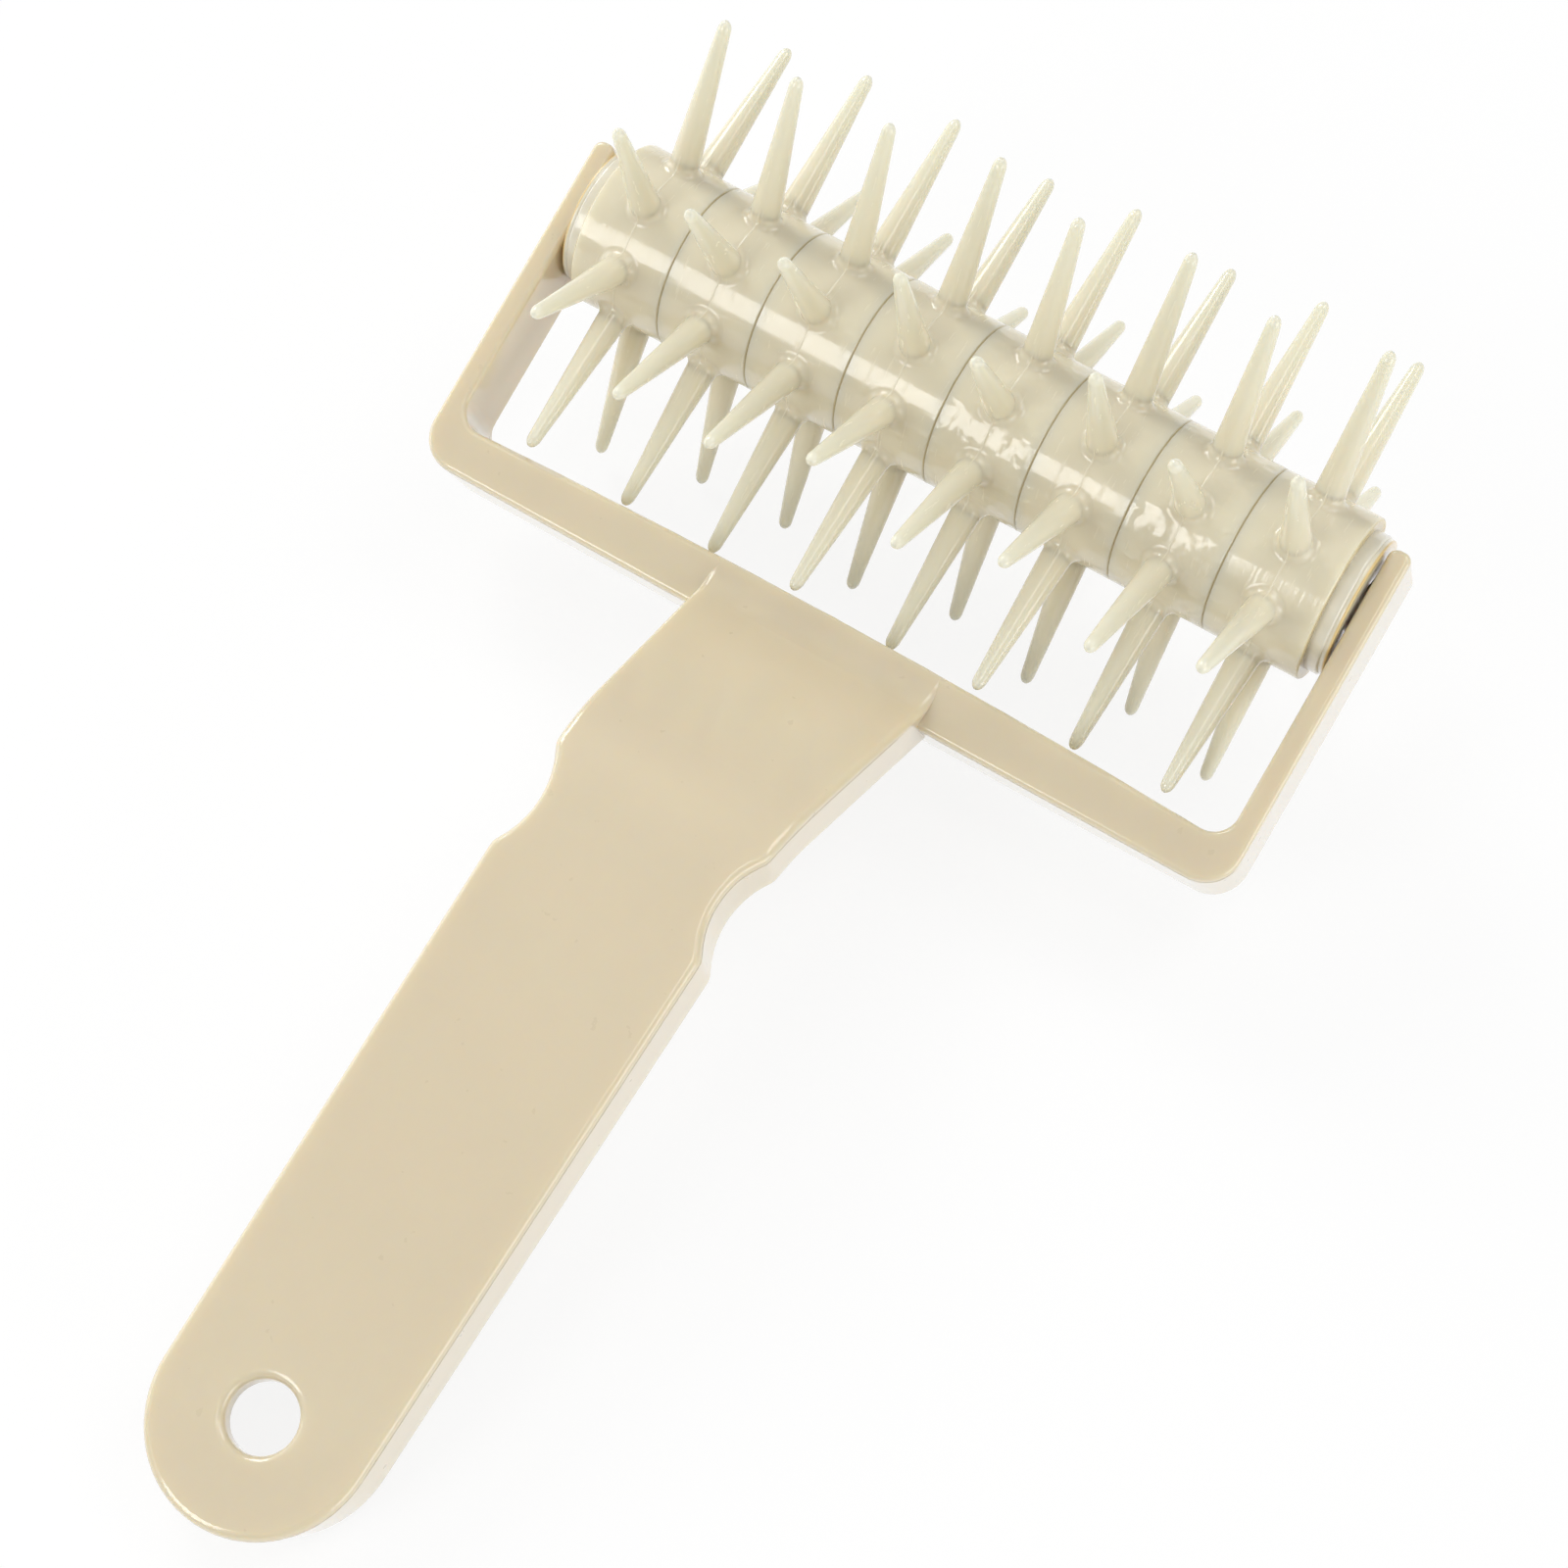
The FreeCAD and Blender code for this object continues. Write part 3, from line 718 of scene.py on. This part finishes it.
@dataclass
class HandleFrame:
    """The one moulding of arms, cross bar and raised handle, with the mould line round its sides."""

    lay: Lay
    finish: bpy.types.Material
    line_finish: bpy.types.Material
    line: MouldLine = MouldLine(half_width_mm=0.10, height_mm=0.06)
    line_depth: float = 1.25
    line_smoothing: int = 3
    line_taper_steps: float = 2.0
    line_least: float = 0.02
    line_overlap: float = 1.0
    bar_rear: float = -42.7
    bar_points: int = 20
    half_height: float = 6.8
    outside: float = 64.0
    outer_corner: float = 5.3
    corner_points: int = 14
    head_width: float = 35.6
    head_points: int = 12
    neck_width: float = 31.57
    grip_width: float = 31.64
    grip_points: int = 24
    end_width: float = 29.5
    end_setback: float = 114.3
    end_points: int = 24
    waist_setback: float = 33.3
    waist_width: float = 27.1
    notch_radius: float = 13.0
    notch_points: int = 22
    notch_shoulder: float = 3.0
    shoulder_points: int = 9
    foot_y: float = -38.607
    ramp_run: float = 26.8
    ramp_deg: float = 45.0
    grip_deg: float = 9.66
    bend_radius: float = 25.0

    def shoulder(self, point: np.ndarray, along: np.ndarray, notch: np.ndarray, ahead: bool) -> np.ndarray:
        """The rounded shoulder between a straight side and a finger notch.

        Its centre lies one shoulder radius inside the straight side, and at the sum of both radii from the
        notch's centre, so it touches both.

        Args:
            point: a point on the straight side.
            along: the side's direction.
            notch: the notch's centre.
            ahead: whether the shoulder lies in front of the notch.

        Returns:
            Points from the straight side to the notch.
        """
        inward = np.array([-along[1], along[0]])
        if inward[0] > 0:
            inward = -inward
        reach = self.notch_radius + self.notch_shoulder
        offset = point + self.notch_shoulder * inward - notch
        middle = -offset @ along
        half = math.sqrt(middle ** 2 - offset @ offset + reach ** 2)
        steps = [middle - half, middle + half]
        spots = sorted((offset + step * along + notch for step in steps), key=lambda spot: spot[1])
        centre = spots[1] if ahead else spots[0]
        on_side = centre - self.notch_shoulder * inward
        on_notch = notch + (centre - notch) * self.notch_radius / reach
        return arc(centre, on_side, on_notch, self.shoulder_points)

    def plan(self) -> np.ndarray:
        """The handle's outline from above, from the cross bar down its right side to the middle of its end.

        Returns:
            Points (x, y) in millimetres.
        """
        radius = self.end_width / 2
        end_centre = np.array([0.0, self.bar_rear - self.end_setback])
        waist_y = self.bar_rear - self.waist_setback
        grip = np.array([self.grip_width / 2, waist_y - self.notch_shoulder])
        neck = np.array([self.neck_width / 2, waist_y + self.notch_shoulder])
        head = np.array([self.head_width / 2, self.bar_rear])
        notch = np.array([self.waist_width / 2 + self.notch_radius, waist_y])
        front = self.shoulder(neck, unit(head - neck), notch, True)
        run = grip - end_centre
        taper = math.acos(radius / np.linalg.norm(run)) - math.atan2(run[1], run[0])
        tangent = np.array([math.cos(taper), -math.sin(taper)]) * radius + end_centre
        rear = self.shoulder(grip, unit(grip - tangent), notch, False)[::-1]
        hollow = arc(notch, front[-1], rear[0], self.notch_points)
        end = arc(end_centre, tangent, end_centre - [0.0, radius], self.end_points)
        head_side = straight(head, front[0], self.head_points)
        grip_side = straight(rear[-1], end[0], self.grip_points)
        return np.concatenate([head_side[:-1], front[:-1], hollow[:-1], rear[:-1], grip_side[:-1], end])

    def height(self, along: np.ndarray, depth: float) -> np.ndarray:
        """Height of the handle's top, taken a depth below it and square to it.

        It is the ramp's line, the grip's line, or between them an arc about the bend's centre, which lies one
        bend radius under both lines.

        Args:
            along: places along Y.
            depth: distance under the top.

        Returns:
            Heights along Z.
        """
        ramp, grip = math.radians(self.ramp_deg), math.radians(self.grip_deg)
        bend_y = self.foot_y - self.ramp_run
        bend_z = self.half_height + self.ramp_run * math.tan(ramp)

        def line(slope: float, y: np.ndarray, under: float) -> np.ndarray:
            """The straight top at one angle, some way under it."""
            return bend_z + (bend_y - y) * math.tan(slope) - under / math.cos(slope)

        gap = self.bend_radius * (1 / math.cos(ramp) - 1 / math.cos(grip))
        centre_y = bend_y - gap / (math.tan(ramp) - math.tan(grip))
        centre_z = float(line(ramp, np.array(centre_y), self.bend_radius))
        radius = self.bend_radius - depth
        ahead = centre_y + radius * math.sin(ramp)
        behind = centre_y + radius * math.sin(grip)
        bend = centre_z + np.sqrt(np.maximum(radius ** 2 - (along - centre_y) ** 2, 0.0))
        behind_ramp = np.where(along < behind, line(grip, along, depth), bend)
        return np.where(along > ahead, line(ramp, along, depth), behind_ramp)

    def side_line(self, node: bpy.types.Object, plan: np.ndarray, heights: np.ndarray) -> np.ndarray:
        """Carry the mould line along the moulding's side wall.

        The path is smoothed a few times, by moving each point halfway to the middle of its neighbours and
        back onto the wall. The line tapers off at both ends.

        Args:
            node: the CAD node that carries the line.
            plan: points (x, y) of the outline, walked with the material on the right-hand side.
            heights: the line's height at each point.

        Returns:
            A tube in metres in the row frame.
        """
        path, outward = settle(self.lay.to_row(np.column_stack([plan, heights])), node)
        for _ in range(self.line_smoothing):
            inner = (path[1:-1] + (path[:-2] + path[2:]) / 2) / 2
            path, outward = settle(np.concatenate([path[:1], inner, path[-1:]]), node)
        sideways = unit(np.cross(np.gradient(path, axis=0), outward))
        from_end = np.minimum(np.arange(len(path)), np.arange(len(path))[::-1])
        share = np.clip(from_end / self.line_taper_steps, self.line_least, 1.0)
        return self.line.tube(path / MM, outward, sideways, share) * MM

    def yoke_plan(self) -> np.ndarray:
        """The yoke's outline from above, from the right arm round its corner and along the bar to the handle.

        Returns:
            Points (x, y) in millimetres.
        """
        radius = self.outer_corner
        centre = np.array([self.outside - radius, self.bar_rear + radius])
        turn = arc(centre, centre + [radius, 0.0], centre - [0.0, radius], self.corner_points)
        stop = np.array([self.head_width / 2 - self.line_overlap, self.bar_rear])
        return np.concatenate([turn[1:-1], straight(turn[-1], stop, self.bar_points)])

    def build(self, node: bpy.types.Object) -> None:
        """Dress the moulding and add its mould lines.

        Args:
            node: the CAD node of the moulding.
        """
        node.material_slots[0].material = self.finish
        LOG.info("dressed %s", node.name)
        mirror = np.array([-1.0, 1.0])
        right = self.plan()
        around = np.concatenate([right * mirror, right[::-1][1:]])
        handle = self.side_line(node, around, self.height(around[:, 1], self.line_depth))
        half = self.yoke_plan()
        level = np.full(len(half), self.half_height - self.line_depth)
        yoke = [self.side_line(node, side, level) for side in (half[::-1], half * mirror)]
        for name, tubes in (("handle_mould_line", [handle]), ("yoke_mould_line", yoke)):
            piece = new_piece(name, tubes, self.line_finish)
            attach(piece, "frame")
            LOG.info("added %s", name)


# The roller


@dataclass
class SpikedRing:
    """One ring of the roller, with skins that round its spikes and a mould line that fades at their feet."""

    number: int
    axle: Vector
    finish: bpy.types.Material
    line_finish: bpy.types.Material
    line: MouldLine = MouldLine()
    line_reach: float = 15.0
    line_fade: float = 2.5
    line_least: float = 0.12
    hub_radius: float = HUB_RADIUS_MM
    hub_points: int = 10
    spike_count: int = 8
    spike_reach: float = SPIKE_REACH_MM
    root_at: float = 10.275
    root_radius: float = 2.3
    tip_radius: float = 0.95
    tip_band: float = 0.05
    point: float = 1.2
    fillet: float = 1.2
    fillet_points: int = 8
    side_points: int = 4
    dome: float = 1.5
    dome_points: int = 10
    skin: float = 0.015
    skin_from: float = 1.6
    skin_sinks: float = 0.03
    shaft_points: int = 14
    around_points: int = 40
    end_radius: float = 0.224
    over_flat: float = 0.0012

    def slope(self) -> float:
        """How a spike's radius changes for each millimetre along its straight side."""
        return (self.tip_radius - self.root_radius) / (self.spike_reach - self.point - self.root_at)

    def half_outline(self) -> np.ndarray:
        """Half of one spike's foot in the ring's middle plane, from the hub to a little way up the spike.

        The fillet's centre lies one fillet radius outside the hub's circle and outside the spike's straight
        side.

        Returns:
            Points (along the spike, across it) in millimetres.
        """
        slope = self.slope()
        stretch = math.hypot(1.0, slope)
        height = self.root_radius - slope * self.root_at + self.fillet * stretch
        outer = self.hub_radius + self.fillet
        share = slope * height
        root = math.sqrt(share ** 2 - (1 + slope ** 2) * (height ** 2 - outer ** 2))
        along = (root - share) / (1 + slope ** 2)
        centre = np.array([along, height + slope * along])
        on_hub = centre * self.hub_radius / outer
        on_side = centre - self.fillet * np.array([-slope, 1.0]) / stretch
        half_turn = math.pi / self.spike_count
        middle = np.array([math.cos(half_turn), math.sin(half_turn)]) * self.hub_radius
        hub = arc(np.zeros(2), middle, on_hub, self.hub_points)
        foot = arc(centre, on_hub, on_side, self.fillet_points)
        top = np.array([self.line_reach, self.root_radius + slope * (self.line_reach - self.root_at)])
        return np.concatenate([hub[:-1], foot[:-1], straight(on_side, top, self.side_points)])

    def spike_angles(self, spots: np.ndarray) -> np.ndarray:
        """Read the spikes' angles about the axle off the tips of the CAD ring.

        The tips' angles times the number of spikes agree but for whole turns, so their mean direction over
        that number is one spike's angle.

        Args:
            spots: the ring's points, in metres from the axle's place.

        Returns:
            One angle for each spike.
        """
        radius = np.hypot(spots[:, 1], spots[:, 2])
        tips = spots[radius > radius.max() - self.tip_band * MM]
        turns = np.arctan2(tips[:, 2], tips[:, 1]) * self.spike_count
        first = math.atan2(np.sin(turns).mean(), np.cos(turns).mean()) / self.spike_count
        return first + np.arange(self.spike_count) * 2 * math.pi / self.spike_count

    def mould_line(self, angle: np.ndarray) -> np.ndarray:
        """Carry the mould line round the ring.

        Its path is the outline of one spike's foot and its mirror image, repeated at the spikes' angles.
        Between these halves it runs inside the spike.

        Args:
            angle: the spikes' angles about the axle.

        Returns:
            A grid of points, in millimetres from the ring's centre.
        """
        half = self.half_outline()
        sector = np.concatenate([half * [1.0, -1.0], half[::-1][:-1]])
        cos, sin = np.cos(angle)[:, None], np.sin(angle)[:, None]
        back = (sector[:, 0] * cos - sector[:, 1] * sin).ravel()
        up = (sector[:, 0] * sin + sector[:, 1] * cos).ravel()
        path = np.column_stack([np.zeros(len(back)), back, up])
        run = unit(np.roll(path, -1, axis=0) - np.roll(path, 1, axis=0))
        outward = np.column_stack([np.zeros(len(back)), run[:, 2], -run[:, 1]])
        sideways = np.tile([1.0, 0.0, 0.0], (len(path), 1))
        beyond_foot = np.hypot(back, up) - self.hub_radius - self.fillet
        share = np.clip(1.0 - beyond_foot / self.line_fade, self.line_least, 1.0)
        return self.line.tube(path, outward, sideways, share)

    def skins(self, angle: np.ndarray) -> List[np.ndarray]:
        """Thin skins over the spikes, which give them rounded ends.

        Row i is a circle about the spike. Its radius follows the spike's straight side up to the dome, and
        sinks evenly below that side towards the hub. On the dome it falls as the cosine of an angle, while
        its place along the spike rises as the sine.

        Args:
            angle: the spikes' angles about the axle.

        Returns:
            One grid of points for each spike, in millimetres from the ring's centre.
        """
        start = self.spike_reach - self.dome
        shaft = np.linspace(self.root_at, start, self.shaft_points)
        sunk = self.skin_sinks * np.maximum(self.hub_radius + self.skin_from - shaft, 0.0)
        sides = self.root_radius + self.slope() * (shaft - self.root_at) + self.skin - sunk
        turn = np.linspace(0.0, math.acos(self.end_radius / sides[-1]), self.dome_points)
        dome = start + (self.dome + self.over_flat) * np.sin(turn) / math.sin(turn[-1])
        reach = np.concatenate([shaft[:-1], dome])
        radius = np.concatenate([sides[:-1], sides[-1] * np.cos(turn)])[:, None, None]
        around = np.linspace(0.0, 2 * math.pi, self.around_points, endpoint=False)[None, :, None]
        across = np.array([1.0, 0.0, 0.0])
        return [
            reach[:, None, None] * np.array([0.0, cos, sin])
            + radius * (np.cos(around) * across + np.sin(around) * np.array([0.0, -sin, cos]))
            for cos, sin in zip(np.cos(angle), np.sin(angle))
        ]

    def build(self, node: bpy.types.Object) -> None:
        """Dress the ring, and add its mould line and the skins that round its spikes.

        Args:
            node: the CAD node of the ring.
        """
        node.material_slots[0].material = self.finish
        LOG.info("dressed %s", node.name)
        spots = np.empty(len(node.data.vertices) * 3, np.float32)
        node.data.vertices.foreach_get("co", spots)
        spots = spots.reshape(-1, 3).astype(float) - np.array(self.axle)
        angle = self.spike_angles(spots)
        centre_x = (spots[:, 0].min() + spots[:, 0].max()) / 2
        centre = np.array(self.axle) + [centre_x, 0.0, 0.0]
        for part, grids, finish in (
            ("mould_line", [self.mould_line(angle)], self.line_finish),
            ("spike_skins", self.skins(angle), self.finish),
        ):
            placed = [grid * MM + centre for grid in grids]
            piece = new_piece(f"ring_{self.number}_{part}", placed, finish)
            # Each lies on the ring as one body with it, and the ring already throws the shadow.
            piece.visible_shadow = False
            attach(piece, "roller")
            LOG.info("added %s", piece.name)


@dataclass
class EndCap:
    """The disc at one end of the roller, with the raised face that runs beside the arm."""

    side: str
    axle: Vector
    finish: bpy.types.Material
    face_radius: float = 10.05
    face_height: float = 0.75
    face_points: int = 120
    eye_radius: float = 4.6
    edge: float = 0.25
    edge_points: int = 6
    sunk: float = 0.2

    def profile(self) -> np.ndarray:
        """The raised face cut through the axle, from the foot of its rim over its top to the foot of its eye.

        Returns:
            Points (distance from the axle, height above the cap) in millimetres.
        """
        low, high = self.face_height - self.edge, self.face_height
        rim = np.array([self.face_radius - self.edge, low])
        eye = np.array([self.eye_radius + self.edge, low])
        outer = arc(rim, np.array([self.face_radius, low]), np.array([rim[0], high]), self.edge_points)
        inner = arc(eye, np.array([eye[0], high]), np.array([self.eye_radius, low]), self.edge_points)
        return np.array([[self.face_radius, -self.sunk], *outer, *inner, [self.eye_radius, -self.sunk]])

    def build(self, node: bpy.types.Object) -> None:
        """Dress the cap and turn the raised face's profile about the axle.

        Args:
            node: the CAD node of the cap.
        """
        node.material_slots[0].material = self.finish
        LOG.info("dressed %s", node.name)
        low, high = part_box(node.name)
        right = self.side == "right"
        profile = self.profile() if right else self.profile()[::-1]
        out = profile[:, 1] * MM
        turn = np.linspace(0.0, 2 * math.pi, self.face_points, endpoint=False)[:, None]
        x = np.broadcast_to(high[0] + out if right else low[0] - out, (len(turn), len(out)))
        y = self.axle.y + profile[:, 0] * MM * np.cos(turn)
        z = self.axle.z + profile[:, 0] * MM * np.sin(turn)
        piece = new_piece(f"{self.side}_cap_face", [np.stack([x, y, z], -1)], self.finish)
        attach(piece, "roller")
        LOG.info("added %s", piece.name)


# The studio


@dataclass(frozen=True)
class Lamp:
    """A soft rectangular lamp.

    Its place, aim and size are in metres. Its radiance is how bright its face is, where white paper in full
    light is about 1, and its power is pi times the radiance times the face's area.
    """

    name: str
    place: Triple
    aim: Triple
    size: Pair
    radiance: float

    def build(self) -> None:
        """Stand the lamp in its place and turn it to its aim."""
        width, height = self.size
        data = bpy.data.lights.new(self.name, "AREA")
        data.shape = "RECTANGLE"
        data.size, data.size_y = width, height
        data.energy = self.radiance * math.pi * width * height
        made = bpy.data.objects.new(self.name, data)
        made.location = self.place
        made.rotation_euler = (Vector(self.aim) - Vector(self.place)).to_track_quat("-Z", "Y").to_euler()
        bpy.context.scene.collection.objects.link(made)


# A strip beyond the handle's end, three soft boxes above and two low side panels

LAMPS = (
    Lamp("front_strip", (-0.279, -0.595, 0.50), (0.0, 0.163, 0.02), size=(0.32, 0.42), radiance=5.2),
    Lamp("overhead_box", (0.155, 0.02, 0.92), (0.0, 0.08, 0.02), size=(0.24, 0.26), radiance=2.5),
    Lamp("left_box", (-0.95, 0.65, 0.85), (0.0, 0.12, 0.03), size=(0.6, 0.6), radiance=6.3),
    Lamp("back_box", (0.38, 0.62, 0.90), (0.0, 0.12, 0.03), size=(0.5, 0.5), radiance=2.7),
    Lamp("left_panel", (-0.95, 0.05, 0.16), (0.0, 0.10, 0.02), size=(0.9, 0.3), radiance=2.0),
    Lamp("side_panel", (0.95, -0.05, 0.24), (0.0, 0.05, 0.03), size=(0.9, 0.44), radiance=2.7),
)


@dataclass
class Studio:
    """A plain pale floor, soft lamps and the camera at the photograph's angle."""

    floor_z: float
    floor_half: float = 4.0
    floor_colour: Colour = (0.97, 0.97, 0.965)
    floor_mottle: float = 0.01
    floor_grain_per_m: float = 90.0
    floor_lift: float = 0.86
    mirror_lift: float = 1.0
    sky: float = 0.40
    camera_place: Triple = (0.11925, -0.09022, 0.39040)
    camera_right: Triple = (0.84319, 0.53692, 0.02729)
    camera_up: Triple = (-0.47437, 0.71915, 0.50774)
    camera_clip: Pair = (0.01, 50.0)
    focal_px: float = 3425.65
    picture_px: float = 1600.0
    sensor_mm: float = 36.0

    def paper(self) -> bpy.types.Material:
        """Build the floor's finish.

        Returns:
            Matt paper, lifted towards white where it is looked at and plain white in reflections.
        """
        made = bpy.data.materials.new("floor_paper")
        made.use_nodes = True
        book = NodeBook(made.node_tree)
        seen, glossy, through = [
            book.node("ShaderNodeLightPath", output=name)
            for name in ("Is Camera Ray", "Is Glossy Ray", "Is Transmission Ray")
        ]
        glow_share = seen * self.floor_lift + (glossy + through).held() * self.mirror_lift
        place = book.node("ShaderNodeTexCoord", output="Object")
        grain = book.noise(place, self.floor_grain_per_m)
        darker = tuple(channel - self.floor_mottle for channel in self.floor_colour)
        tone = book.mix(grain, opaque(self.floor_colour), opaque(darker))
        matt = book.node("ShaderNodeBsdfDiffuse", {}, {"Color": tone})
        glow = book.node("ShaderNodeEmission", {}, {"Strength": 1.0})
        both = book.node("ShaderNodeMixShader", {}, {0: glow_share, 1: matt, 2: glow})
        book.node("ShaderNodeOutputMaterial", {}, {"Surface": both})
        return made

    def floor(self) -> None:
        """Lay the floor, which keeps the tool's shadow."""
        half, level = self.floor_half, self.floor_z
        sides = ((-half, -half), (half, -half), (half, half), (-half, half))
        mesh = bpy.data.meshes.new("floor")
        mesh.from_pydata([(x, y, level) for x, y in sides], [], [(0, 1, 2, 3)])
        mesh.materials.append(self.paper())
        piece = bpy.data.objects.new("floor", mesh)
        bpy.context.scene.collection.objects.link(piece)
        piece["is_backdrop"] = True

    def light(self) -> None:
        """Set an even sky, which looks white to the camera, and the lamps."""
        world = bpy.data.worlds.new("studio")
        bpy.context.scene.world = world
        world.use_nodes = True
        book = NodeBook(world.node_tree)
        seen = book.node("ShaderNodeLightPath", output="Is Camera Ray")
        strength = seen * (1.0 - self.sky) + self.sky
        sky = book.node("ShaderNodeBackground", {}, {"Color": opaque(WHITE), "Strength": strength})
        book.node("ShaderNodeOutputWorld", {}, {"Surface": sky})
        for lamp in LAMPS:
            lamp.build()

    def camera(self) -> None:
        """Stand the camera where the photograph was taken."""
        data = bpy.data.cameras.new("camera")
        data.sensor_width = self.sensor_mm
        data.lens = self.sensor_mm * self.focal_px / self.picture_px
        data.clip_start, data.clip_end = self.camera_clip
        right, up = Vector(self.camera_right).normalized(), Vector(self.camera_up).normalized()
        made = bpy.data.objects.new("camera", data)
        axes = Matrix((right, up, right.cross(up))).transposed()
        made.matrix_world = Matrix.Translation(self.camera_place) @ axes.to_4x4()
        bpy.context.scene.collection.objects.link(made)
        bpy.context.scene.camera = made

    def build(self) -> None:
        """Make the whole studio."""
        bpy.context.scene.view_settings.view_transform = "Standard"
        self.floor()
        self.light()
        self.camera()
        LOG.info("set up the studio")


# The whole


def dress_frame(nodes: Nodes, axle: Vector) -> None:
    """Dress the moulding of arms, cross bar and handle.

    Args:
        nodes: the CAD nodes by name.
        axle: the axle's place.
    """
    dark_line = CreamPlastic("frame_line_cream", **DARK_LINE_TONES, translucency=0.0).material()
    cream = FramePlastic("frame_cream", **FRAME_TONES, axle=(axle.y, axle.z)).material()
    HandleFrame(Lay(axle), cream, dark_line).build(nodes["handle_frame"])


def dress_rings(nodes: Nodes, axle: Vector) -> None:
    """Dress the eight rings and the core inside them.

    Args:
        nodes: the CAD nodes by name.
        axle: the axle's place.
    """
    looks = {**RING_TONES, **MILKY, "axle": (axle.y, axle.z)}
    line = CreamPlastic("ring_line_cream", **RING_TONES, translucency=0.0).material()
    finishes = {
        Surface.EVEN: RollerPlastic("ring_cream", **looks).material(),
        Surface.DIMPLED: RollerPlastic(
            "ring_cream_dimpled", **looks, dimple_microns=DIMPLE_MICRONS
        ).material(),
    }
    for number in range(1, RING_COUNT + 1):
        surface = Surface.DIMPLED if number in DIMPLED_RINGS else Surface.EVEN
        SpikedRing(number, axle, finishes[surface], line).build(nodes[f"spiked_ring_{number}"])
    nodes["roller_core"].material_slots[0].material = finishes[Surface.EVEN]
    LOG.info("dressed roller_core")


def dress_caps(nodes: Nodes, axle: Vector) -> None:
    """Dress the discs at both ends of the roller.

    Args:
        nodes: the CAD nodes by name.
        axle: the axle's place.
    """
    looks = {**CAP_PAINTED_LIGHT_TONES, "translucency": CAP_TRANSLUCENCY, "axle": (axle.y, axle.z)}
    finish = GapShadedPlastic("cap_cream", **looks).material()
    for side in ("left", "right"):
        EndCap(side, axle, finish).build(nodes[f"{side}_end_cap"])


def main() -> None:
    """Build every piece in order."""
    logging.basicConfig(level=logging.INFO, format="%(message)s")
    cad_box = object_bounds()
    nodes = frame["nodes"]
    axle = Vector(frame["joints"][0]["pos_m"])
    dress_frame(nodes, axle)
    dress_rings(nodes, axle)
    dress_caps(nodes, axle)
    Studio(floor_z=cad_box[0].z).build()


if __name__ == "__main__":
    main()
